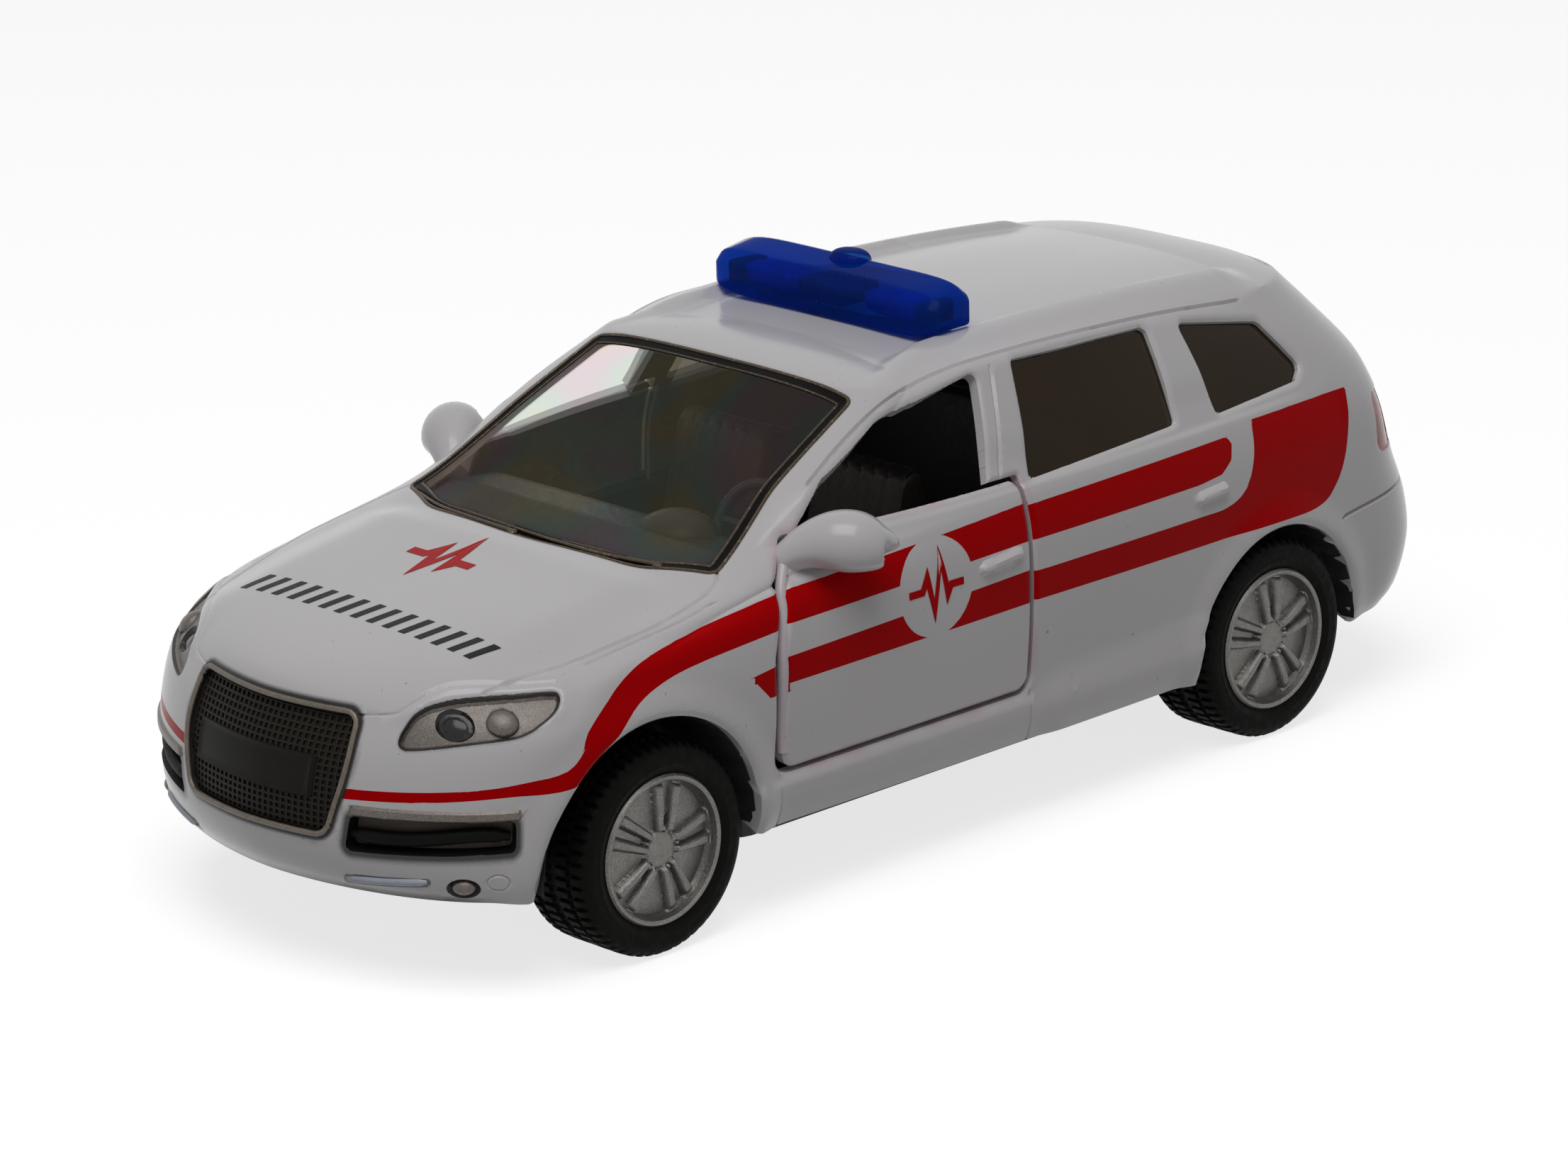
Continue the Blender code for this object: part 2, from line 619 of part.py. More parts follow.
def make_body():
    """The hollow casting, its openings, and the two posts that the rivets pull the base against."""
    body = body_skin("body_shell", white_paint, 0, BODY_WALL)
    for side, word in ((1, "left"), (-1, "right")):
        for name, outline in (
            ("door_opening", opening_outline()),
            ("rear_window", rear_window_outline()),
            ("quarter_window", quarter_window_outline()),
        ):
            cut(body, side_prism(f"{name}_{word}", rounded(outline), side, WINDOW_INNER_X, OUTSIDE_X))
        for name, y, radius in (
            ("front_arch", FRONT_AXLE_Y - FRONT_ARCH_SHIFT, TYRE_RADIUS + FRONT_ARCH_GAP),
            ("rear_arch", REAR_AXLE_Y, TYRE_RADIUS + REAR_ARCH_GAP),
        ):
            axis = X_AXIS * side
            arch = (f"{name}_{word}", (0, y, AXLE_Z), axis, radius, WINDOW_INNER_X, OUTSIDE_X, ARCH_STEPS)
            cut(body, rod_mesh(*arch))
    size = (WINDSCREEN_HALF_FOOT, WINDSCREEN_HALF_TOP, WINDSCREEN_EDGE, WINDSCREEN_EDGE)
    cut(body, glass_prism("windscreen_opening", nose_point(COWL), nose_point(ROOF), X_AXIS, *size))
    size = (TAIL_GLASS_HALF_FOOT, TAIL_GLASS_HALF_TOP, TAIL_GLASS_FOOT, TAIL_GLASS_TOP)
    cut(body, glass_prism("tail_opening", tail_point(COWL), tail_point(ROOF), -X_AXIS, *size))
    cut(body, grille_prism("grille_opening", FIT_GAP))
    for word, y, top in posts():
        join(body, rod_mesh(f"post_{word}", (0, y, 0), Z_AXIS, POST_RADIUS, POST_BOTTOM, top))
        cut(body, rod_mesh(f"post_bore_{word}", (0, y, 0), Z_AXIS, POST_BORE, 0, RIVET_TOP + BODY_WALL))
    for side in (1, -1):
        peg = (side * LIGHT_BAR_PEG_SPACING / 2, LIGHT_BAR_Y, 0)
        low = LIGHT_BAR_BOTTOM - 2 * LIGHT_BAR_PEG_DEPTH
        cut(body, rod_mesh(f"peg_hole_{side}", peg, Z_AXIS, LIGHT_BAR_PEG + FIT_GAP, low, LIGHT_BAR_BOTTOM))


def make_door(side, word):
    """A door cut from the body's skin, with the mirror cast on and a lug inside for the hinge pin."""
    door = body_skin(f"door_{word}", white_paint, 0, BODY_WALL)
    edge = side_prism(f"door_edge_{word}", rounded(door_outline()), side, WINDOW_INNER_X, OUTSIDE_X)
    combine(door, add_part(edge.name, edge), "INTERSECT")
    axis = (side * HINGE_X, HINGE_Y, 0)
    reach = HINGE_INSET - BODY_WALL / 2
    low, high = sorted((side * HINGE_X, side * (HINGE_X + reach)))
    join(door, box_mesh(
        f"hinge_web_{word}",
        (low, HINGE_Y - HINGE_WEB / 2, HINGE_LUG_BOTTOM), (high, HINGE_Y + HINGE_WEB / 2, HINGE_LUG_TOP),
    ))
    join(door, rod_mesh(f"hinge_lug_{word}", axis, Z_AXIS, HINGE_BARREL, HINGE_LUG_BOTTOM, HINGE_LUG_TOP))
    cut(door, rod_mesh(f"hinge_bore_{word}", axis, Z_AXIS, PIN_BORE, 0, HINGE_LUG_TOP + HINGE_EAR))
    arm = (side * HALF_WIDTH, DOOR_FRONT_Y + MIRROR_BACK, DOOR_TOP - MIRROR_DROP - MIRROR_ARM_DROP)
    size = (MIRROR_ARM_RADIUS, -MIRROR_ARM_LENGTH, 0, THIN_ROD_STEPS)
    join(door, rod_mesh(f"mirror_arm_{word}", arm, X_AXIS * side, *size))
    join(door, mirror_head(side, word))
    return door


def mirror_head(side, word):
    """The rounded head of the door mirror."""
    bm = bmesh.new()
    bmesh.ops.create_uvsphere(bm, u_segments=THIN_ROD_STEPS, v_segments=THIN_ROD_STEPS // 2, radius=0.5)
    bmesh.ops.scale(bm, vec=(MIRROR_WIDTH, MIRROR_LENGTH, MIRROR_HEIGHT), verts=bm.verts)
    place = (side * (HALF_WIDTH + MIRROR_OVERHANG), DOOR_FRONT_Y + MIRROR_BACK, DOOR_TOP - MIRROR_DROP)
    bmesh.ops.translate(bm, vec=place, verts=bm.verts)
    return finish_mesh(bm, f"mirror_{word}")


def make_hinge_pin(side, word):
    start = HINGE_LUG_BOTTOM - PART_GAP - HINGE_EAR - HINGE_PIN_END
    end = HINGE_LUG_TOP + PART_GAP + HINGE_EAR + HINGE_PIN_END
    axis = (side * HINGE_X, HINGE_Y, 0)
    pin = rod_mesh(f"hinge_pin_{word}", axis, Z_AXIS, HINGE_PIN_RADIUS, start, end, THIN_ROD_STEPS)
    add_part(pin.name, pin, steel)


def make_windows():
    """One clear moulding behind every window but the front door ones."""
    glass = body_skin("window_unit", tinted_glass, BODY_WALL + FIT_GAP, GLASS_THICKNESS)
    low = GLASS_FOOT - GLASS_TRIM_DEPTH
    keep_low = (-OUTSIDE_X, NOSE_Y, GLASS_FOOT - WINDSCREEN_SKIRT)
    keep = box_mesh("cabin_zone", keep_low, (OUTSIDE_X, TAIL_Y, LIGHT_BAR_BOTTOM))
    combine(glass, add_part(keep.name, keep), "INTERSECT")
    pillar = DOOR_REAR_Y + PILLAR_WIDTH / 2
    front = [(DOOR_FRONT_Y, low), (pillar, low), (pillar, WINDOW_TOP + GLASS_CLEARANCE)]
    front += [(y - GLASS_CLEARANCE, z + GLASS_CLEARANCE) for y, z in front_window_corners()]
    cowl_rear = DOOR_FRONT_Y + DOOR_TOP_LEAN
    cowl = [(NOSE_Y, low), (cowl_rear, low), (cowl_rear, SILL_HEIGHT), (NOSE_Y, SILL_HEIGHT)]
    hem = [(DOOR_REAR_Y, low), (TAIL_Y, low), (TAIL_Y, GLASS_FOOT), (DOOR_REAR_Y, GLASS_FOOT + FACE_STEP)]
    cowl_inner = WINDSCREEN_HALF_FOOT + WINDSCREEN_EDGE
    for side, word in ((1, "left"), (-1, "right")):
        cut(glass, side_prism(f"front_window_gap_{word}", front, side, WINDOW_INNER_X, OUTSIDE_X))
        cut(glass, side_prism(f"cowl_corner_{word}", cowl, side, cowl_inner, OUTSIDE_X))
        cut(glass, side_prism(f"rear_hem_{word}", hem, side, -FIT_GAP, OUTSIDE_X))
    _, y, top = posts()[1]
    relief = 2 * PART_GAP
    cut(glass, rod_mesh("post_relief", (0, y, 0), Z_AXIS, POST_RADIUS + relief, 0, top + relief))


def make_light_bar():
    """The blue bar, with two pegs that plug in the roof."""
    half = (LIGHT_BAR_LENGTH / 2, LIGHT_BAR_DEPTH / 2)
    top = LIGHT_BAR_BOTTOM + LIGHT_BAR_HEIGHT
    low = (-half[0], LIGHT_BAR_Y - half[1], LIGHT_BAR_BOTTOM)
    high = (half[0], LIGHT_BAR_Y + half[1], top)
    bar = add_part("light_bar", box_mesh("light_bar", low, high), blue_plastic)
    bevel = bar.modifiers.new("rounding", "BEVEL")
    bevel.width = LIGHT_BAR_ROUND
    bevel.segments = LIGHT_BAR_ROUND_STEPS
    half = (LIGHT_BAR_FOOT_LENGTH / 2, LIGHT_BAR_FOOT_DEPTH / 2)
    low = (-half[0], LIGHT_BAR_Y - half[1], LIGHT_BAR_BOTTOM - LIGHT_BAR_FOOT_HEIGHT)
    high = (half[0], LIGHT_BAR_Y + half[1], LIGHT_BAR_BOTTOM + LIGHT_BAR_ROUND)
    join(bar, box_mesh("bar_foot", low, high))
    for side in (1, -1):
        peg = (side * LIGHT_BAR_PEG_SPACING / 2, LIGHT_BAR_Y, 0)
        size = (LIGHT_BAR_PEG, LIGHT_BAR_BOTTOM - LIGHT_BAR_PEG_DEPTH, LIGHT_BAR_BOTTOM + LIGHT_BAR_ROUND)
        join(bar, rod_mesh(f"bar_peg_{side}", peg, Z_AXIS, *size))


def make_grille():
    """The grille plate in its opening, with a flange behind the nose."""
    grille = body_skin("grille_insert", black_plastic, FIT_GAP, BODY_WALL + GRILLE_THICKNESS / 2)
    plug = grille_prism("grille_plug", 0)
    combine(grille, add_part(plug.name, plug), "INTERSECT")
    flange = body_skin("grille_flange", None, BODY_WALL + FIT_GAP, GRILLE_THICKNESS)
    frame = grille_prism("grille_flange_edge", GRILLE_FLANGE)
    combine(flange, add_part(frame.name, frame), "INTERSECT")
    combine(grille, flange, "UNION")


def make_base():
    """The base plate with a bearing block for each axle and a hole for each rivet."""
    front, rear = NOSE_Y + BASE_NOSE_GAP, TAIL_Y - BASE_TAIL_GAP
    well = TYRE_RADIUS + BASE_WELL_GAP
    right = [
        (BASE_HALF_END - BASE_TAPER, front, BASE_CORNER),
        (BASE_HALF_END, FRONT_AXLE_Y - well, BASE_CORNER),
        (BASE_HALF_END, FRONT_AXLE_Y + well, 0),
        (BASE_HALF_MIDDLE, FRONT_AXLE_Y + well, BASE_CORNER),
        (BASE_HALF_MIDDLE, REAR_AXLE_Y - well, BASE_CORNER),
        (BASE_HALF_END, REAR_AXLE_Y - well, 0),
        (BASE_HALF_END, REAR_AXLE_Y + well, BASE_CORNER),
        (BASE_HALF_END - BASE_TAPER, rear, BASE_CORNER),
    ]
    outline = rounded(right + [(-a, b, radius) for a, b, radius in reversed(right)])
    plate = prism_mesh("chassis_base", outline, (0, 0, 0), X_AXIS, Y_AXIS, BASE_BOTTOM, BASE_TOP)
    base = add_part("chassis_base", plate, grey_metal)
    half_width, half_length = BASE_HALF_END - FACE_STEP, BEARING_LENGTH / 2
    for y, word in ((FRONT_AXLE_Y, "front"), (REAR_AXLE_Y, "rear")):
        low = (-half_width, y - half_length, BASE_BOTTOM + BASE_THICKNESS / 2)
        join(base, box_mesh(f"bearing_{word}", low, (half_width, y + half_length, AXLE_Z + BEARING_RISE)))
        size = (AXLE_BORE, -WHEEL_FACE_X, WHEEL_FACE_X, WHEEL_STEPS)
        cut(base, rod_mesh(f"axle_bore_{word}", (0, y, AXLE_Z), X_AXIS, *size))
    for word, y, _ in posts():
        cut(base, rod_mesh(f"rivet_hole_{word}", (0, y, 0), Z_AXIS, POST_BORE, 0, POST_BOTTOM))
        cut(base, rod_mesh(f"rivet_well_{word}", (0, y, 0), Z_AXIS, RIVET_HEAD + FIT_GAP, 0, RIVET_SEAT))


def make_rivet(word, y):
    """A rivet with its head sunk in a well in the base."""
    top = RIVET_SEAT - FIT_GAP
    low = top - RIVET_HEAD_THICKNESS
    head = rod_mesh(f"rivet_{word}", (0, y, 0), Z_AXIS, RIVET_HEAD, low, top)
    size = (RIVET_RADIUS, (low + top) / 2, RIVET_TOP, THIN_ROD_STEPS)
    join(add_part(head.name, head, steel), rod_mesh(f"rivet_shank_{word}", (0, y, 0), Z_AXIS, *size))


def make_interior():
    """The cabin moulding: floor, side walls with hinge ears, dashboard, two front seats and a rear bench."""
    half, step = TUB_HALF_WIDTH, FACE_STEP
    floor = box_mesh("interior_tub", (-half, TUB_FRONT_Y, TUB_FLOOR), (half, TUB_REAR_Y, FLOOR_TOP))
    tub = add_part("interior_tub", floor, black_plastic)
    for side, word in ((1, "left"), (-1, "right")):
        low, high = sorted((side * (half - TUB_WALL), side * (half - step)))
        wall_low = (low, TUB_FRONT_Y + step, TUB_FLOOR + step)
        join(tub, box_mesh(f"tub_wall_{word}", wall_low, (high, TUB_REAR_Y - step, TUB_TOP)))
        hinge_ears(tub, side, word)
        seat_y = DOOR_REAR_Y - SEAT_SETBACK
        join(tub, seat_mesh(f"front_seat_{word}", side * SEAT_OFFSET, SEAT_WIDTH, seat_y))
    bench = 2 * (half - TUB_WALL - BENCH_SIDE_GAP)
    join(tub, seat_mesh("rear_seat", 0, bench, TUB_REAR_Y - BENCH_SETBACK))
    dash_half = half - TUB_WALL / 2
    dash_low = (-dash_half, TUB_FRONT_Y + 2 * step, FLOOR_TOP - TUB_FLOOR_THICKNESS / 2)
    join(tub, box_mesh("dashboard", dash_low, (dash_half, TUB_FRONT_Y + DASH_DEPTH, TUB_TOP + DASH_RISE)))
    cargo_half = BASE_HALF_END - CARGO_INSET
    cargo_high = (cargo_half, REAR_AXLE_Y + TYRE_RADIUS, CARGO_BOTTOM + TUB_FLOOR_THICKNESS)
    join(tub, box_mesh("cargo_floor", (-cargo_half, TUB_REAR_Y - CARGO_LAP, CARGO_BOTTOM), cargo_high))
    wheel = steering_frame()
    size = (STEERING_COLUMN + FIT_GAP, -STEERING_COLUMN_LENGTH - STEERING_SOCKET_GAP, 0, THIN_ROD_STEPS)
    cut(tub, rod_mesh("column_socket", wheel.translation, wheel.col[2].xyz, *size))


def hinge_ears(tub, side, word):
    """Two ears on the side wall that hold the ends of a hinge pin, above and below the door's lug."""
    axis = (side * HINGE_X, HINGE_Y, 0)
    low, high = sorted((side * (TUB_HALF_WIDTH - TUB_WALL / 2), side * HINGE_X))
    reach = HINGE_BARREL - 2 * FACE_STEP
    under, over = HINGE_LUG_BOTTOM - PART_GAP - HINGE_EAR, HINGE_LUG_TOP + PART_GAP
    for place, start in (("low", under), ("high", over)):
        end = start + HINGE_EAR
        arm_low = (low, HINGE_Y - reach, start + FACE_STEP)
        join(tub, box_mesh(f"ear_arm_{place}_{word}", arm_low, (high, HINGE_Y + reach, end - FACE_STEP)))
        join(tub, rod_mesh(f"ear_{place}_{word}", axis, Z_AXIS, HINGE_BARREL, start, end))
    cut(tub, rod_mesh(f"ear_bore_{word}", axis, Z_AXIS, PIN_BORE, FLOOR_TOP, TUB_TOP, THIN_ROD_STEPS))


def seat_mesh(name, x, width, y):
    """A seat seen from the side as one outline, pushed to its width."""
    low = FLOOR_TOP - TUB_FLOOR_THICKNESS / 2
    outline = [(y + along * MM, low + up * MM, radius * MM) for along, up, radius in SEAT_PROFILE]
    return prism_mesh(name, rounded(outline), (x, 0, 0), Y_AXIS, Z_AXIS, -width / 2, width / 2)


def steering_frame():
    """The steering wheel's place: its axis leans back from the dashboard to the driver."""
    place = Matrix.Translation((SEAT_OFFSET, DOOR_FRONT_Y + STEERING_SETBACK, TUB_TOP + STEERING_RISE))
    return place @ Matrix.Rotation(math.radians(STEERING_TILT), 4, "X")


def make_steering_wheel():
    place = steering_frame()
    bm = bmesh.new()
    size = {
        "radius1": STEERING_RADIUS,
        "radius2": STEERING_RADIUS - STEERING_TAPER,
        "depth": 2 * STEERING_TUBE,
    }
    bmesh.ops.create_cone(bm, cap_ends=True, segments=THIN_ROD_STEPS, **size)
    bmesh.ops.transform(bm, matrix=place, verts=bm.verts)
    wheel = add_part("steering_wheel", finish_mesh(bm, "steering_wheel"), black_plastic)
    size = (STEERING_COLUMN, -STEERING_COLUMN_LENGTH, STEERING_TUBE / 2, THIN_ROD_STEPS)
    join(wheel, rod_mesh("steering_column", place.translation, place.col[2].xyz, *size))


def turned(name, profile, material, parent, x, side):
    """A profile of (distance along the axle, radius) points turned round the axle line, on one side."""
    bm = bmesh.new()
    ring = [bm.verts.new((along, 0, radius)) for along, radius in profile]
    for first, last in zip(ring, ring[1:] + ring[:1]):
        bm.edges.new((first, last))
    mesh = bpy.data.meshes.new(name)
    bm.to_mesh(mesh)
    bm.free()
    obj = add_part(name, mesh, material)
    screw = obj.modifiers.new("turn", "SCREW")
    screw.axis = "X"
    screw.steps = WHEEL_STEPS
    screw.render_steps = WHEEL_STEPS
    screw.use_merge_vertices = True
    screw.merge_threshold = FIT_GAP / 100
    screw.use_normal_flip = True
    obj.parent = parent
    obj.location = (side * x, 0, 0)
    if side < 0:
        obj.rotation_euler = (0, 0, math.pi)
    return obj


def make_wheels():
    """Two wheel sets: an axle with a rim and a tyre at each end, hung on an empty on the axle line."""
    seat = RIM_RADIUS - RIM_SEAT_DEPTH
    bore = AXLE_RADIUS + FIT_GAP
    dish = -RIM_DISH_DEPTH
    dish_radius = RIM_RADIUS - RIM_LIP_THICKNESS
    hub = dish + RIM_HUB_HEIGHT / 2
    blind = -AXLE_END_DEPTH + FIT_GAP
    rim = [
        (-TYRE_WIDTH, bore),
        (-TYRE_WIDTH, seat),
        (-RIM_LIP_WIDTH, seat),
        (-RIM_LIP_WIDTH, RIM_RADIUS),
        (0, RIM_RADIUS),
        (0, dish_radius),
        (dish, dish_radius - RIM_DISH_SLOPE),
        (hub - RIM_HUB_HEIGHT, RIM_HUB_RADIUS + RIM_HUB_SLOPE),
        (hub, RIM_HUB_RADIUS),
        (hub, RIM_HUB_DIMPLE),
        (blind, RIM_HUB_DIMPLE),
        (blind, bore),
    ]
    inner = seat + FIT_GAP
    lip = RIM_RADIUS + FIT_GAP
    tyre = rounded([
        (-TYRE_WIDTH, inner, 0),
        (-TYRE_WIDTH, TYRE_RADIUS, TYRE_SHOULDER),
        (0, TYRE_RADIUS, TYRE_SHOULDER),
        (0, lip, 0),
        (-RIM_LIP_WIDTH - FIT_GAP, lip, 0),
        (-RIM_LIP_WIDTH - FIT_GAP, inner, 0),
    ])
    for y, word in ((FRONT_AXLE_Y, "front"), (REAR_AXLE_Y, "rear")):
        line = bpy.data.objects.new(f"axle_line_{word}", None)
        parts.objects.link(line)
        line.location = (0, y, AXLE_Z)
        reach = WHEEL_FACE_X - AXLE_END_DEPTH
        axle = rod_mesh(f"axle_{word}", (0, 0, 0), X_AXIS, AXLE_RADIUS, -reach, reach, WHEEL_STEPS)
        add_part(axle.name, axle, steel).parent = line
        for side, hand in ((1, "left"), (-1, "right")):
            turned(f"rim_{word}_{hand}", rim, silver, line, WHEEL_FACE_X, side)
            turned(f"tyre_{word}_{hand}", tyre, rubber, line, WHEEL_FACE_X, side)


def hang_door(door, side, word):
    """Puts the door on an empty at the hinge, without moving it."""
    line = bpy.data.objects.new(f"hinge_line_{word}", None)
    parts.objects.link(line)
    line.location = (side * HINGE_X, HINGE_Y, HINGE_LUG_BOTTOM)
    door.parent = line
    door.matrix_parent_inverse = Matrix.Translation(-line.location)


clear_scene()
parts = new_collection("die_cast_emergency_car")
cutters = new_collection("cutters")
cutters.hide_render = True
white_paint = paint("white_paint", (0.80, 0.79, 0.80), 0.25)
tinted_glass = paint("tinted_glass", (0.02, 0.015, 0.012), 0.08)
blue_plastic = paint("blue_plastic", (0.005, 0.03, 0.35), 0.15)
black_plastic = paint("black_plastic", (0.015, 0.015, 0.016), 0.5)
grey_metal = paint("grey_metal", (0.10, 0.10, 0.11), 0.45, 0.6)
steel = paint("steel", (0.55, 0.55, 0.56), 0.3, 1.0)
silver = paint("silver", (0.62, 0.62, 0.63), 0.28, 0.9)
rubber = paint("rubber", (0.012, 0.012, 0.013), 0.7)

make_body()
make_windows()
make_light_bar()
make_grille()
make_base()
make_interior()
make_steering_wheel()
make_wheels()
for door_side, door_word in ((1, "left"), (-1, "right")):
    hang_door(make_door(door_side, door_word), door_side, door_word)
    make_hinge_pin(door_side, door_word)
for post_word, post_y, _ in posts():
    make_rivet(post_word, post_y)
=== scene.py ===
"""Picture of the die-cast emergency car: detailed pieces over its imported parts, lamps, floor and camera.

Lengths are in millimetres and become metres where a mesh is made. The front faces -Y, +X is the car's left
and +Z is up.
"""

import math

import bmesh
import bpy
import numpy as np
from mathutils import Matrix, Vector
from mathutils.bvhtree import BVHTree


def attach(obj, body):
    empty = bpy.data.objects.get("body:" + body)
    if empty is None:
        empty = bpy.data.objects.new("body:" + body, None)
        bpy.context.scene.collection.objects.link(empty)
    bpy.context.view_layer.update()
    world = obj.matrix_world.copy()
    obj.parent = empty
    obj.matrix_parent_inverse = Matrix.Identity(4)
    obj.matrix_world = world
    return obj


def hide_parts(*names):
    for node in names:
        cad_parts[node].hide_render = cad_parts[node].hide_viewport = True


MM = 0.001
FAR = 99.0
SNAP = 0.015

# Body sizes and its levels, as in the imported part: at the nose setback, height and roundness; at the front
# corner inset, setback and height; at the side inset and height; at the rear corner and the tail likewise.
NOSE_Y, TAIL_Y, HALF_WIDTH = -46.1, 46.1, 18.0
ROOF_CROWN, ROOF_FLATNESS, ROOF_BOW, ROOF_FAN = 1.5, 2.6, 0.8, 6.0
SIDE_ROUNDING, ROUNDING_MIDDLE_Y, ROUNDING_END, ROUNDING_SHARE = 1.1, 12, (14, 18.5), 0.9
WALL = 0.9
BODY_LEVELS = (
    ((1.5, 5.9, 1.8), (1.8, 9.3, 5.9), (1.1, 5.9), (1.8, 11.5, 5.9), (2.5, 5.9, 2.6)),
    ((0.6, 7.0, 1.8), (1.3, 9.5, 7.0), (0.7, 7.0), (1.4, 11.3, 7.0), (1.2, 7.0, 2.7)),
    ((0.0, 8.9, 1.8), (0.9, 9.9, 9.9), (0.4, 9.8), (1.0, 11.1, 10.0), (0.0, 10.0, 2.7)),
    ((0.4, 13.0, 1.8), (0.6, 10.5, 13.1), (0.1, 13.2), (0.9, 11.3, 13.0), (0.3, 13.0, 2.6)),
    ((1.7, 16.0, 1.8), (0.7, 11.5, 16.0), (0.0, 16.5), (1.0, 11.6, 16.3), (1.5, 16.2, 2.4)),
    ((2.7, 17.8, 1.75), (1.1, 14.6, 17.9), (0.1, 19.2), (1.3, 12.1, 19.4), (2.7, 19.5, 2.5)),
    ((10.1, 19.3, 2.4), (1.6, 22.1, 19.5), (0.5, 21.2), (1.8, 12.9, 21.6), (3.9, 22.0, 2.6)),
    ((22.9, 21.6, 2.8), (2.0, 32.6, 21.7), (1.1, 22.7), (2.4, 14.3, 23.2), (4.9, 23.6, 2.8)),
    ((31.3, 25.6, 3.0), (3.4, 38.1, 25.7), (2.7, 26.1), (3.9, 16.1, 26.0), (7.7, 26.6, 2.9)),
    ((39.2, 29.3, 3.2), (5.3, 43.6, 29.2), (4.6, 29.7), (5.8, 17.9, 28.7), (9.9, 28.9, 3.0)),
)
LEVEL_STEPS = (3, 4, 8, 7, 6, 14, 20, 16, 16)
CORNER_STEPS, SIDE_STEPS, CURVE_SAMPLES = 36, 170, 600
REFINE_ROUNDS, LINING_ROUNDS = 3, 12
ASTRAY = 0.75

# Wheels
FRONT_AXLE_Y, REAR_AXLE_Y, AXLE_Z = -28.2, 26.4, 6.65
RIM_RADIUS, WHEEL_FACE_X, TYRE_WIDTH = 4.7, 17.1, 5.8

# Places on the side of the car, as lengthwise distance, height and a corner's rounding or an arch's radius
DOOR_EDGE = (
    (-18.6, 9.3, 1.0), (2.6, 9.3, 1.0), (2.6, 22.85, 0.6), (-15.3, 22.85, 0.9), (-17.55, 20.3, 1.6),
    (-18.6, 16.5, 1.0),
)
DOOR_OPENING = (
    (-19.25, 9.0, 1.2), (2.9, 9.0, 1.2), (2.9, 23.1, 0.2), (-15.9, 23.1, 0.8), (-18.2, 20.3, 1.6),
    (-19.25, 16.5, 1.0),
)
FRONT_WINDOW = (
    (-15.3, 22.0, 0.2), (-15.3, 22.85, 0.2), (-11.8, 25.45, 3.0), (-6.2, 27.85, 3.0), (2.4, 29.3, 0.45),
    (0.2, 22.85, 0.2), (0.0, 22.0, 0.2),
)
REAR_WINDOW = ((3.85, 22.6, 0.25), (17.8, 23.05, 0.35), (18.3, 28.85, 0.5), (5.6, 29.35, 0.35))
QUARTER_WINDOW = (
    (21.85, 22.85, 0.35), (30.0, 23.2, 0.4), (31.0, 24.0, 0.5), (28.8, 27.1, 0.8), (21.3, 28.45, 0.4),
)
FRONT_ARCH = (-29.2, 6.65, 8.6)
REAR_ARCH = (26.4, 6.5, 7.9)
FRONT_HANDLE, REAR_HANDLE = ((-1.6, 18.2), (1.4, 18.5)), ((18.4, 18.1), (20.8, 18.25))
PILLAR_LINE = ((3.6, 29.2), (1.3, 22.9))
SILL_SEAM, REAR_SEAM = ((-18.9, 5.8), (-18.9, 9.1)), ((2.75, 5.8), (2.75, 9.1))

# Places seen from above, and the line over the doors as length and way up and inward
BONNET_LINE = ((13.9, -20.4), (14.9, -22.0), (15.3, -26.5), (15.0, -29.7), (14.3, -33.6), (12.8, -38.2))
FENDER_LINE = ((15.7, -22.5), (15.85, -25.2), (15.6, -28.6), (15.2, -32.2))
FRAME_LINE = (
    (-12.6, 8.1), (-9.5, 9.55), (-6.5, 10.7), (-4.0, 11.35), (-1.5, 11.75), (2.6, 11.9), (10.0, 11.9),
    (20.0, 11.7), (28.0, 11.3),
)
RAIL_LOW, RAIL_X, RAIL_BOW, RAIL_MIDDLE_Y = 27, 9.5, 0.0012, 10
WINDSCREEN_HALF = ((9.4, -22.85, 6.0), (13.95, -20.6, 0.7), (12.4, -14.4, 9.0), (11.5, -6.4, 0.6))
WINDSCREEN_FOOT, WINDSCREEN_TOP = (0.0, -23.5, 30.0), (0.0, -6.4, 30.0)

# The tail from behind, with its lamps and bumper as distance round the corner and height
TAIL_WINDOW = ((-10.8, 24.3, 1.2), (10.8, 24.3, 1.2), (8.9, 28.2, 1.2), (-8.9, 28.2, 1.2))
TAIL_GATE = (
    (-10.2, 14.6, 1.5), (10.2, 14.6, 1.5), (12.2, 22.6, 3.0), (9.6, 28.9, 1.5), (-9.6, 28.9, 1.5),
    (-12.2, 22.6, 3.0),
)
PLATE_RECESS = ((-5.0, 15.6, 0.4), (5.0, 15.6, 0.4), (5.0, 18.2, 0.4), (-5.0, 18.2, 0.4))
TAIL_LAMP = ((37.6, 16.9, 0.8), (43.0, 16.6, 0.8), (43.6, 20.6, 0.8), (38.6, 20.9, 0.8))
BUMPER_LINE = ((33.2, 13.5), (38.0, 14.0), (43.0, 14.1), (48.0, 14.1), (66.0, 14.1))

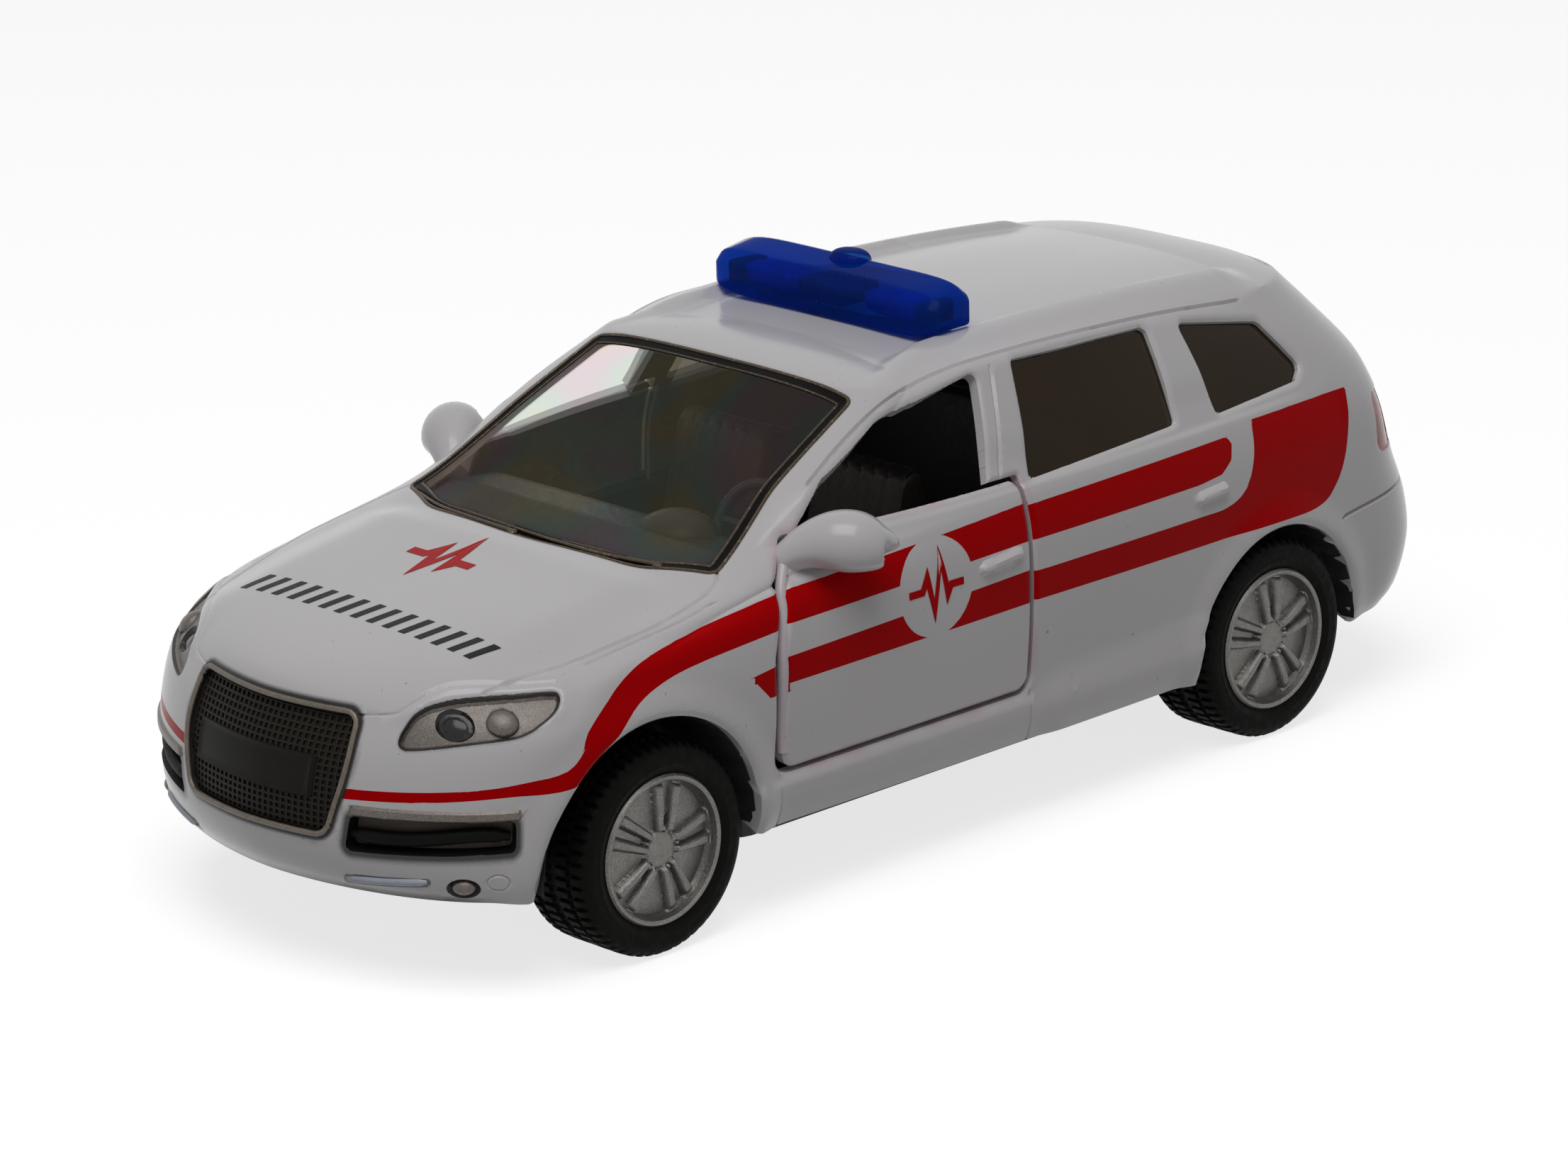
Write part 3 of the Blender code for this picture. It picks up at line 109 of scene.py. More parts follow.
# Printed stripes, as distance round the corner and along the side, and height
FENDER_STRIPE_TOP = (
    (-53.2, 12.5), (-47.0, 12.8), (-42.2, 13.1), (-39.2, 13.4), (-36.4, 13.7), (-35.1, 14.5),
    (-34.5, 15.6), (-33.0, 16.9), (-31.5, 18.0), (-29.4, 18.8), (-25.0, 19.5), (-18.3, 20.3),
)
FENDER_STRIPE_FOOT = (
    (-53.2, 11.9), (-47.0, 12.2), (-40.7, 12.6), (-37.8, 12.6), (-35.5, 12.8), (-34.1, 13.5),
    (-33.3, 14.4), (-32.3, 15.0), (-30.7, 16.3), (-28.8, 17.1), (-25.7, 17.7), (-18.3, 18.3),
)
FENDER_STUB = ((-21.4, 15.9), (-18.3, 16.3), (-18.3, 14.3), (-19.9, 14.3))
DOOR_UPPER_STRIPE = ((-19.0, 20.3), (2.9, 21.4), (2.9, 19.05), (-19.0, 18.45))
DOOR_LOWER_STRIPE = ((-19.0, 16.5), (2.9, 17.2), (2.9, 15.05), (-19.0, 14.85))
DISC_CENTRE, DISC_RADIUS = (-5.8, 18.0), 3.15
PULSE = (
    (-2.35, -0.1), (-1.2, -0.1), (-0.75, 0.75), (-0.2, -1.5), (0.45, 1.75), (0.95, -0.65), (1.25, -0.1),
    (2.35, -0.1),
)
PULSE_HALF = 0.24
REAR_UPPER_STRIPE = (
    (2.3, 21.2), (21.3, 21.4), (21.8, 20.9), (21.7, 19.9), (20.8, 19.2), (18.6, 19.0), (2.3, 19.0),
)
REAR_BLOCK_TOP = ((2.3, 17.0), (17.6, 16.9), (21.2, 16.95), (23.1, 17.8), (23.9, 19.7), (23.8, 21.9))
REAR_BLOCK_FOOT = (
    (33.2, 21.9), (33.4, 19.9), (32.9, 17.4), (31.8, 15.7), (30.1, 14.9), (24.1, 14.9), (2.3, 15.1),
)

# The front end, as distance round the corner and height
HEADLIGHT = (
    (-48.5, 15.5), (-48.0, 16.2), (-47.0, 17.0), (-45.3, 17.5), (-42.2, 17.8), (-37.6, 17.95),
    (-36.5, 17.8), (-36.7, 17.2), (-37.8, 16.6), (-39.6, 16.0), (-43.1, 15.65), (-47.3, 15.15),
    (-48.3, 15.15),
)
BROW_LINE = (
    (-51.3, 16.6), (-48.6, 16.9), (-47.3, 17.45), (-45.3, 18.0), (-42.0, 18.25), (-36.6, 18.35),
)
LENS_CENTRE, LENS_SIZE = (-44.4, 16.6), (1.5, 0.85)
BULB_CENTRE, BULB_SIZE = (-40.8, 16.75), (1.25, 0.72)
INTAKE = ((-52.9, 8.75, 0.4), (-40.2, 9.2, 0.5), (-40.1, 11.15, 0.4), (-52.4, 10.95, 0.4))
INTAKE_BROW = ((-52.6, 10.95, 0.1), (-39.9, 11.15, 0.1), (-39.3, 11.85, 0.2), (-52.3, 11.65, 0.2))
INTAKE_BAR = ((-52.6, 9.75), (-48.5, 9.9), (-44.5, 10.05), (-40.6, 10.15))
LOWER_SLOT = ((-53.0, 6.35, 0.3), (-46.6, 6.9, 0.3), (-46.6, 7.5, 0.3), (-53.0, 7.15, 0.3))
SLOT_BAR = ((-52.7, 6.8), (-50.7, 6.95), (-48.7, 7.08), (-46.9, 7.22))
SMALL_OVAL_CENTRE, SMALL_OVAL_SIZE = (-41.6, 7.3), (0.85, 0.5)
FOG_CENTRE, FOG_SIZE = (-44.2, 6.9), (0.95, 0.5)
# The windscreen's gasket: distance out from the glass's edge and height above the body
GASKET = (
    (-0.8, -0.16), (-0.74, -0.1), (-0.67, -0.06), (-0.6, -0.12), (-0.52, -0.12), (-0.18, -0.08),
    (-0.08, 0.03), (0.05, 0.04), (0.12, -0.1), (0.3, -0.5),
)
# Bands of the gasket, as distances out from the glass's edge, painted bronze as highlights on its ridges
GASKET_HIGHLIGHTS = ((-0.74, -0.6), (-0.13, 0.12))
# The grille from the front, and how far its dark paint reaches past its edge
GRILLE = (
    (-6.2, 9.5, 1.1), (6.2, 9.5, 1.1), (7.35, 13.4, 8.0), (7.05, 16.7, 0.9), (-7.05, 16.7, 0.9),
    (-7.35, 13.4, 8.0),
)
GRILLE_EDGE = 0.3

# Paints of the skin, in the order of its finishes, and the pieces that it is cut into
# The last paint is for the inner side of the cast: dark brown-grey, painted shade inside the body
PAINT, RED, DARK, SILVER, INTAKE_BLACK, LENS, TAIL_RED, SHADED_INSIDE = range(8)
BODY, DOOR, GONE = range(3)


def ease(share):
    """A share held from 0 to 1 and smoothed at both ends."""
    share = np.clip(share, 0, 1)
    return share * share * (3 - 2 * share)


def round_end(half_width, start_y, end_y, start_z, end_z, roundness):
    """A rounded half end of a level, from the middle of the car to its corner, as close points."""
    turn = np.linspace(0, math.pi / 2, CURVE_SAMPLES)
    x = half_width * np.abs(np.sin(turn)) ** (2 / roundness)
    y = start_y + (end_y - start_y) * np.abs(np.cos(turn)) ** (2 / roundness)
    share = np.linspace(0, 1, CURVE_SAMPLES)
    return np.stack([x, y, end_z + (start_z - end_z) * ease(share)], axis=1)


def bend(end):
    """The index of the point where a rounded end turns past half way from across to along."""
    step = np.abs(np.diff(end, axis=0))
    return int(np.argmax(step[:, 1] > step[:, 0]))


def spaced(line, count):
    """Points at even distances along a line, both ends included."""
    length = np.concatenate([[0], np.cumsum(np.linalg.norm(np.diff(line, axis=0), axis=1))])
    places = np.linspace(0, length[-1], count + 1)
    return np.stack([np.interp(places, length, line[:, axis]) for axis in range(line.shape[1])], axis=1)


def level_points(level):
    """One level of the body as a line from the nose, round the left side, to the tail."""
    (nose, nose_z, nose_round), front, (side_in, side_z), rear, (tail, tail_z, tail_round) = level
    nose_end = round_end(
        HALF_WIDTH - front[0], NOSE_Y + front[1], NOSE_Y + nose, front[2], nose_z, nose_round)
    tail_end = round_end(
        HALF_WIDTH - rear[0], TAIL_Y - rear[1], TAIL_Y - tail, rear[2], tail_z, tail_round)
    middle_y = DOOR_EDGE[1][0]
    along = np.linspace(nose_end[-1, 1], tail_end[-1, 1], CURVE_SAMPLES)[1:-1]
    corner = np.where((along < middle_y)[:, None], nose_end[-1], tail_end[-1])
    away = ((along - middle_y) / (corner[:, 1] - middle_y)) ** 2
    side_x = HALF_WIDTH - side_in
    x = side_x + (corner[:, 0] - side_x) * away
    flank = np.stack([x, along, side_z + (corner[:, 2] - side_z) * away], axis=1)
    first, last = bend(nose_end), bend(tail_end)
    left = np.concatenate([nose_end[first:], flank, tail_end[:last - 1:-1]])
    nose_line = spaced(nose_end[:first + 1], CORNER_STEPS)
    tail_line = spaced(tail_end[:last + 1], CORNER_STEPS)[::-1]
    return np.concatenate([nose_line, spaced(left, SIDE_STEPS)[1:-1], tail_line])


def between(first, last, first_knot, last_knot, knot):
    """Points at a knot on the straight way from the first points to the last."""
    share = ((knot - first_knot) / (last_knot - first_knot))[:, None]
    return first + (last - first) * share


def smooth_levels(levels):
    """Smooth lines up through all the levels, with LEVEL_STEPS steps from each level to the next."""
    padded = [2 * levels[0] - levels[1], *levels, 2 * levels[-1] - levels[-2]]
    rows = []
    for index, steps in enumerate(LEVEL_STEPS):
        p0, p1, p2, p3 = padded[index:index + 4]
        spans = [np.sqrt(np.linalg.norm(b - a, axis=1)) for a, b in ((p0, p1), (p1, p2), (p2, p3))]
        t0 = np.zeros_like(spans[0])
        t1 = spans[0]
        t2 = t1 + spans[1]
        t3 = t2 + spans[2]
        for step in range(steps):
            t = t1 + (t2 - t1) * step / steps
            a1, a2, a3 = between(p0, p1, t0, t1, t), between(p1, p2, t1, t2, t), between(p2, p3, t2, t3, t)
            rows.append(between(between(a1, a2, t0, t2, t), between(a2, a3, t1, t3, t), t1, t2, t))
    rows.append(levels[-1])
    return np.array(rows)


def roof_points(edge):
    """The roof as lines from its edge line in to its crowned middle, one for each point of the edge."""
    y = np.clip(edge[:, 1], edge[0, 1] + ROOF_FAN, edge[-1, 1] - ROOF_FAN)
    along = (y - edge[0, 1]) / (edge[-1, 1] - edge[0, 1])
    middle = edge[0, 2] + (edge[-1, 2] - edge[0, 2]) * along
    middle += ROOF_CROWN * (1 - (2 * along - 1) ** 2) ** ROOF_BOW
    out = np.linspace(1, 0, CORNER_STEPS + 1)[1:, None]
    x = edge[:, 0] * out
    z = middle + (edge[:, 2] - middle) * out ** ROOF_FLATNESS
    return np.stack([x, y + (edge[:, 1] - y) * out, z], axis=2)


def round_off(grid, row):
    """Rounds the crease along one row of a grid at the sides of the car, fading towards its ends."""
    for column in range(grid.shape[1]):
        line = grid[:, column].copy()
        place = np.concatenate([[0], np.cumsum(np.linalg.norm(np.diff(line, axis=0), axis=1))])
        place -= place[row]
        fade = falling(abs(line[row, 1] - ROUNDING_MIDDLE_Y), ROUNDING_END)
        reach = min(SIDE_ROUNDING * fade, ROUNDING_SHARE * place[-1])
        if reach > SNAP:
            ends = [[np.interp(end, place, line[:, axis]) for axis in range(3)] for end in (-reach, reach)]
            close = np.abs(place) < reach
            share = ((place[close] + reach) / (2 * reach))[:, None]
            grid[close, column] = (
                (1 - share) ** 2 * ends[0] + 2 * share * (1 - share) * line[row] + share ** 2 * ends[1])
    return grid


def grid_triangles(rows, columns):
    """Triangles over a grid of points."""
    index = np.arange(rows * columns).reshape(rows, columns)
    a, b, c, d = index[:-1, :-1], index[:-1, 1:], index[1:, 1:], index[1:, :-1]
    return np.concatenate([np.stack(corners, axis=-1).reshape(-1, 3) for corners in ((a, b, c), (a, c, d))])


def weld(points, faces):
    """Joins points in one place and drops faces that have closed up."""
    _, first, index = np.unique(np.round(points, 3), axis=0, return_index=True, return_inverse=True)
    faces = index.reshape(-1)[faces]
    ends = (faces, np.roll(faces, 1, axis=1))
    return points[first], faces[(ends[0] != ends[1]).all(axis=1)]


class Skin:
    """Triangles over the left half of the body, each with a paint and the piece that it belongs to."""

    def __init__(self, points, faces):
        self.points = points
        self.faces = faces
        self.paint = np.full(len(faces), PAINT)
        self.piece = np.full(len(faces), BODY)

    def middles(self):
        return self.points[self.faces].mean(axis=1)

    def divide(self, cross, share_of):
        """Cuts triangles at points on some edges. Cross tells if the edge after each corner is cut."""
        count = cross.sum(axis=1)
        whole, one, two, three = (np.flatnonzero(count == number) for number in range(4))
        lone = cross & np.roll(cross, 1, axis=1)
        turn = np.arange(3)
        order1 = (cross[one].argmax(axis=1)[:, None] + 2 + turn) % 3
        order2 = (lone[two].argmax(axis=1)[:, None] + turn) % 3
        f1 = np.take_along_axis(self.faces[one], order1, axis=1)
        f2 = np.take_along_axis(self.faces[two], order2, axis=1)
        f3 = self.faces[three]
        ends = np.concatenate([
            f1[:, [1, 2]], f2[:, [0, 1]], f2[:, [0, 2]], f3[:, [0, 1]], f3[:, [1, 2]], f3[:, [2, 0]]])
        pairs, index = np.unique(np.sort(ends, axis=1), axis=0, return_inverse=True)
        sizes = np.cumsum([len(f1), len(f2), len(f2), len(f3), len(f3)])
        m, p, q, r, t, u = np.split(len(self.points) + index.reshape(-1), sizes)
        a, b = self.points[pairs[:, 0]], self.points[pairs[:, 1]]
        self.points = np.concatenate([self.points, a + (b - a) * share_of(pairs)[:, None]])
        self.faces = np.concatenate([self.faces[whole], *(np.stack(corners, axis=1) for corners in (
            (f1[:, 0], f1[:, 1], m), (f1[:, 0], m, f1[:, 2]),
            (f2[:, 0], p, q), (p, f2[:, 1], f2[:, 2]), (p, f2[:, 2], q),
            (f3[:, 0], r, u), (r, f3[:, 1], t), (u, t, f3[:, 2]), (r, t, u),
        ))])
        source = np.concatenate([whole, one, one, two, two, two, three, three, three, three])
        self.paint = self.paint[source]
        self.piece = self.piece[source]

    def split(self, field):
        """Cuts the triangles along the line where a field over the points is zero."""
        value = field(self.points)
        value = np.where(np.abs(value) < SNAP, 0, value)
        side = np.sign(value)[self.faces]
        self.divide(side * np.roll(side, -1, axis=1) < 0,
                    lambda pairs: value[pairs[:, 0]] / (value[pairs[:, 0]] - value[pairs[:, 1]]))

    def refine(self, field, reach, size):
        """Halves the edges longer than a size that lie near a field's line."""
        for _ in range(REFINE_ROUNDS):
            close = (np.abs(field(self.points)) < reach)[self.faces]
            corners = self.points[self.faces]
            length = np.linalg.norm(corners - np.roll(corners, -1, axis=1), axis=2)
            cross = (length > size) & (close | np.roll(close, -1, axis=1))
            self.divide(cross, lambda pairs: np.full(len(pairs), 0.5))

    def split_at(self, field, *offsets):
        for offset in offsets:
            self.split(lambda points, offset=offset: field(points) - offset)

    def fill(self, field, paint):
        """Splits along a field's line and paints what is inside it."""
        self.split(field)
        self.paint[field(self.middles()) < 0] = paint

    def normals(self):
        """Outward directions at the points, level across the middle of the car."""
        a, b, c = (self.points[self.faces[:, corner]] for corner in range(3))
        face = np.cross(b - a, c - a)
        total = np.zeros_like(self.points)
        for corner in range(3):
            np.add.at(total, self.faces[:, corner], face)
        total = self.level(total)
        around = self.soothed(total, 1)
        astray = (total * around).sum(axis=1) < ASTRAY
        total[astray] = around[astray]
        return self.level(total)

    def level(self, directions):
        """Directions of unit length, with none across the middle of the car."""
        directions = np.where((self.points[:, :1] < SNAP) & (np.arange(3) == 0), 0, directions)
        return directions / np.maximum(np.linalg.norm(directions, axis=1), 1e-9)[:, None]

    def soothed(self, directions, rounds):
        """Directions evened out between neighbouring points."""
        for _ in range(rounds):
            total = np.zeros_like(directions)
            for corner in range(3):
                np.add.at(total, self.faces[:, corner], directions[self.faces].sum(axis=1))
            directions = self.level(total)
        return directions


# Flat views of the skin. Each gives two coordinates and which points it holds for.
FLANK_X, FLANK_FRONT_Y, FLANK_REAR_Y = 8, -26, 36
CORNER_X, CORNER_SHARE = 17.5, 0.8
WRAP_TOP, WRAP_REAR_Y, WRAP_X = 22.8, 40, 3
SHOULDER_LOW, TOP_LOW, FRONT_Y, REAR_Y = 24, 17.3, -36, 30


def flank_view(points):
    x, y, _ = points.T
    return points[:, 1:], (x > FLANK_X) & (y > FLANK_FRONT_Y) & (y < FLANK_REAR_Y)


def arch_view(points):
    return points[:, 1:], points[:, 0] > FLANK_X


def wrap_view(points):
    x, y, z = points.T
    flat = np.stack([y - CORNER_SHARE * np.maximum(0, CORNER_X - x), z], axis=1)
    return flat, (z < WRAP_TOP) & (y < WRAP_REAR_Y) & (x > WRAP_X)


def tail_wrap_view(points):
    x, y, z = points.T
    return np.stack([y + CORNER_SHARE * np.maximum(0, CORNER_X - x), z], axis=1), y > REAR_Y


def shoulder_view(points):
    """Length and, aslant up and inward, the way from the side over to the roof."""
    x, y, z = points.T
    return np.stack([y, math.sqrt(0.5) * (z - x)], axis=1), (z > SHOULDER_LOW) & (x > FLANK_X)


def top_view(points):
    return points[:, :2], points[:, 2] > TOP_LOW


def front_view(points):
    return points[:, ::2], points[:, 1] < FRONT_Y


def rear_view(points):
    return points[:, ::2], points[:, 1] > REAR_Y


def distance_to(flat, line, signed=False):
    """Distance of flat points from a line of straight pieces. Signed, it is negative on its right."""
    best = np.full(len(flat), FAR)
    sign = np.ones(len(flat))
    for start, end in zip(line[:-1], line[1:]):
        along = end - start
        share = np.clip((flat - start) @ along / max(along @ along, 1e-12), 0, 1)
        away = flat - start - share[:, None] * along
        length = np.linalg.norm(away, axis=1)
        closer = length < best
        best[closer] = length[closer]
        sign[closer] = np.where(along[0] * away[closer, 1] < along[1] * away[closer, 0], -1, 1)
    return best * sign if signed else best


def inside_of(flat, line):
    """Which flat points are inside a closed line."""
    count = np.zeros(len(flat), int)
    for (ax, ay), (bx, by) in zip(line[:-1], line[1:]):
        if ay != by:
            rows = (ay > flat[:, 1]) != (by > flat[:, 1])
            count += rows & (flat[:, 0] < ax + (flat[:, 1] - ay) / (by - ay) * (bx - ax))
    return count % 2 == 1


def near(flat, line, margin):
    """Which flat points lie within a margin of the box round a line."""
    return ((flat > line.min(axis=0) - margin) & (flat < line.max(axis=0) + margin)).all(axis=1)


def area(view, outline, margin=4.0):
    """A field over the skin: the distance from an outline, negative inside it."""
    line = np.array([*outline, outline[0]], float)

    def field(points):
        flat, held = view(points)
        value = np.full(len(points), FAR)
        chosen = np.flatnonzero(held & near(flat, line, margin))
        flat = flat[chosen]
        value[chosen] = distance_to(flat, line) * np.where(inside_of(flat, line), -1, 1)
        return value
    return field


def stroke(view, line, margin=4.0):
    """A field over the skin: the signed distance from an open line."""
    line = np.array(line, float)

    def field(points):
        flat, held = view(points)
        value = np.full(len(points), FAR)
        chosen = np.flatnonzero(held & near(flat, line, margin))
        value[chosen] = distance_to(flat[chosen], line, signed=True)
        return value
    return field


def circle(view, centre, radius):
    """A field over the skin: the distance from a circle, negative inside it."""
    def field(points):
        flat, held = view(points)
        return np.where(held, np.linalg.norm(flat - centre, axis=1) - radius, FAR)
    return field


def oval(view, centre, size):
    """A field over the skin that is 0 on an oval and -1 at its middle."""
    def field(points):
        flat, held = view(points)
        return np.where(held, np.linalg.norm((flat - centre) / size, axis=1) - 1, FAR)
    return field


def rounded(corners, steps=6):
    """The outline with each corner (a, b, radius) made an arc that keeps to its half of both edges."""
    outline = []
    count = len(corners)
    for index, (a, b, radius) in enumerate(corners):
        here = Vector((a, b))
        before = Vector(corners[index - 1][:2]) - here
        after = Vector(corners[(index + 1) % count][:2]) - here
        half = before.angle(after) / 2
        reach = min(radius / math.tan(half), before.length * 0.49, after.length * 0.49)
        radius = reach * math.tan(half)
        middle = here + (before.normalized() + after.normalized()).normalized() * radius / math.sin(half)
        first = here + before.normalized() * reach - middle
        last = here + after.normalized() * reach - middle
        sweep = first.angle_signed(last)
        for step in range(steps + 1):
            outline.append(tuple(middle + Matrix.Rotation(-sweep * step / steps, 2) @ first))
    return outline


def smooth(line, steps=5, closed=False):
    """A smooth line through the given points."""
    points = np.array(line, float)
    if closed:
        padded = np.concatenate([points[-1:], points, points[:2]])
    else:
        padded = np.concatenate([2 * points[:1] - points[1:2], points, 2 * points[-1:] - points[-2:-1]])
    out = []
    for p0, p1, p2, p3 in zip(padded, padded[1:], padded[2:], padded[3:]):
        for t in np.arange(steps) / steps:
            out.append(0.5 * (2 * p1 + (p2 - p0) * t + (2 * p0 - 5 * p1 + 4 * p2 - p3) * t * t
                              + (3 * p1 - p0 - 3 * p2 + p3) * t ** 3))
    if not closed:
        out.append(points[-1])
    return [tuple(point) for point in out]


def ramp(value, start, end):
    """0 up to start, 1 from end, smooth between them."""
    return ease((value - start) / (end - start))


def falling(value, bounds):
    """1 up to the first bound and 0 from the second."""
    return 1 - ramp(value, *bounds)


def band(value, rise, fall):
    """0 outside a band and 1 within it, easing over its two bounds."""
    return ramp(value, *rise) * falling(value, fall)


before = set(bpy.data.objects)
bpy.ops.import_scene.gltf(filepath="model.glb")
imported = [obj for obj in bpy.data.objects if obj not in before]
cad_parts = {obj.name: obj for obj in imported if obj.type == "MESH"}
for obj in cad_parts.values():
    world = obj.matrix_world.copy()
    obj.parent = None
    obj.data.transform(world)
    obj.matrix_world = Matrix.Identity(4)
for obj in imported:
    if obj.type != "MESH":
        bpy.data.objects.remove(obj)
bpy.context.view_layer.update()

# Fields for the openings, recesses, prints and creases of the skin
door_edge = area(flank_view, rounded(DOOR_EDGE))
door_opening = area(flank_view, rounded(DOOR_OPENING))
front_window = area(flank_view, rounded(FRONT_WINDOW))
rear_window = area(flank_view, rounded(REAR_WINDOW))
quarter_window = area(flank_view, rounded(QUARTER_WINDOW))
front_arch = circle(arch_view, FRONT_ARCH[:2], FRONT_ARCH[2])
rear_arch = circle(arch_view, REAR_ARCH[:2], REAR_ARCH[2])
screen_right = [(-x, y, radius) for x, y, radius in WINDSCREEN_HALF[::-1]]
windscreen = area(top_view, rounded((*WINDSCREEN_HALF, WINDSCREEN_TOP, *screen_right, WINDSCREEN_FOOT)))
tail_window = area(rear_view, rounded(TAIL_WINDOW))
grille = area(front_view, rounded(GRILLE))
headlight = area(wrap_view, smooth(HEADLIGHT, closed=True))
lens = oval(wrap_view, LENS_CENTRE, LENS_SIZE)
bulb = oval(wrap_view, BULB_CENTRE, BULB_SIZE)
intake = area(wrap_view, rounded(INTAKE))
lower_slot = area(wrap_view, rounded(LOWER_SLOT))
intake_brow = area(wrap_view, rounded(INTAKE_BROW))
fog = oval(wrap_view, FOG_CENTRE, FOG_SIZE)
small_oval = oval(wrap_view, SMALL_OVAL_CENTRE, SMALL_OVAL_SIZE)
disc = circle(wrap_view, DISC_CENTRE, DISC_RADIUS)
stripes = [area(wrap_view, outline) for outline in (
    smooth(FENDER_STRIPE_TOP) + smooth(FENDER_STRIPE_FOOT)[::-1],
    FENDER_STUB,
    DOOR_UPPER_STRIPE,
    DOOR_LOWER_STRIPE,
    REAR_UPPER_STRIPE,
    smooth(REAR_BLOCK_TOP) + smooth(REAR_BLOCK_FOOT),
)]
handles = [stroke(wrap_view, line) for line in (FRONT_HANDLE, REAR_HANDLE)]
tail_lamp = area(tail_wrap_view, rounded(TAIL_LAMP))
tail_gate = area(rear_view, rounded(TAIL_GATE))
plate_recess = area(rear_view, rounded(PLATE_RECESS))


def rail_edge(points):
    """Distance outward from the inner edge of the roof rail, which bows in towards its ends."""
    x, y, z = points.T
    return np.where(z > RAIL_LOW, x - RAIL_X + RAIL_BOW * (y - RAIL_MIDDLE_Y) ** 2, -FAR)


def opening(points):
    """The door opening with the open window above it."""
    return np.minimum(door_opening(points), front_window(points))


def side_windows(points):
    """The two fixed windows behind each door."""
    return np.minimum(rear_window(points), quarter_window(points))


def rolled(away, reach, depth):
    """The dip of a rolled edge, where away is the distance from the edge."""
    return -depth * (1 - np.clip(away / reach, 0, 1)) ** 2


def recess(inside, wall, depth):
    """A flat recess with sloping walls, where inside is negative in it."""
    return -depth * np.clip(-inside / wall, 0, 1)


def bulge(from_middle, height):
    """A rounded rise, where from_middle runs from 0 at its middle to 1 at its edge."""
    return height * np.sqrt(np.clip(1 - from_middle ** 2, 0, 1))


# Grooves in the skin: the line, half the width and the depth
GROOVES = (
    (stroke(top_view, smooth(BONNET_LINE)), 0.16, 0.14),
    (stroke(top_view, smooth(FENDER_LINE)), 0.12, 0.10),
    (stroke(wrap_view, smooth(BROW_LINE)), 0.1, 0.1),
    (small_oval, 0.18, 0.1),
    (stroke(shoulder_view, smooth(FRAME_LINE)), 0.16, 0.22),
    (stroke(flank_view, PILLAR_LINE), 0.2, 0.16),
    (stroke(flank_view, SILL_SEAM), 0.12, 0.15),
    (stroke(flank_view, REAR_SEAM), 0.12, 0.15),
    (stroke(tail_wrap_view, smooth(BUMPER_LINE)), 0.18, 0.25),
    (tail_gate, 0.15, 0.25),
)
# Edges that roll in: the field outside the edge, the reach and the depth
ROLLED_EDGES = (
    (front_arch, 0.35, 0.22), (rear_arch, 0.35, 0.22), (side_windows, 0.4, 0.22),
    (tail_window, 0.4, 0.22), (windscreen, 0.3, 0.12),
)
# Recesses: the field, where the wall starts, the width of the wall and the depth
RECESSES = (
    (headlight, 0.0, 0.16, 0.34), (lens, 0.0, 0.15, 0.25), (intake, 0.0, 0.22, 1.3),
    (intake_brow, 0.0, 0.15, -0.16), (lower_slot, 0.0, 0.12, 0.3), (fog, 0.35, 0.3, 0.25),
    (tail_lamp, 0.0, 0.12, 0.12), (plate_recess, 0.0, 0.2, 0.3),
)
# Round rises on ovals: the field, how much smaller than the oval, and the height
BULGES = ((bulb, 1.0, 0.45), (lens, 1.6, 0.12), (fog, 1.0, 0.5))
DOOR_ROLL, OPENING_ROLL = (0.35, 0.2), (0.3, 0.16)
ARCH_LIP, ARCH_LIP_EDGE = 0.32, (0.2, 2.2)
FLANK_EDGE = (14.0, 15.2)
SILL_RISE, SILL_TOP, SILL_END = 0.28, (8.3, 9.0), (27.0, 30.0)
BELT_DEPTH, BELT_LOW, BELT_HIGH, BELT_END = 0.16, (22.1, 22.6), (23.6, 25.6), (26.0, 32.0)
REAR_SILL_RISE, REAR_SILL_TOP, REAR_SILL_SLOPE, REAR_SILL_Y = 0.18, (9.3, 10.1), 0.03, 5.0
REAR_SILL_FRONT, REAR_SILL_END = (3.0, 6.0), (24.0, 27.0)
DOME_RISE, DOME_SIDE, DOME_LOW = 0.55, (10.0, 14.2), (17.3, 18.6)
DOME_FRONT, DOME_REAR = (-44.0, -36.0), (-25.5, -22.5)
BROW_RISE, BROW_INNER, BROW_OUTER, BROW_LOW = 0.12, (0.0, 0.2), (0.4, 1.1), (16.2, 17.0)
HANDLE_RISE, HANDLE_EDGE = 0.4, (0.12, 0.5)
RAIL_RISE, RAIL_INNER, RAIL_OUTER, RAIL_FOOT = 0.62, (-0.45, 0.3), (0.6, 3.2), (28.0, 28.8)
RAIL_FRONT, RAIL_REAR, RAIL_SLANT = (-2.6, 1.6), (28.5, 31.5), 1.6


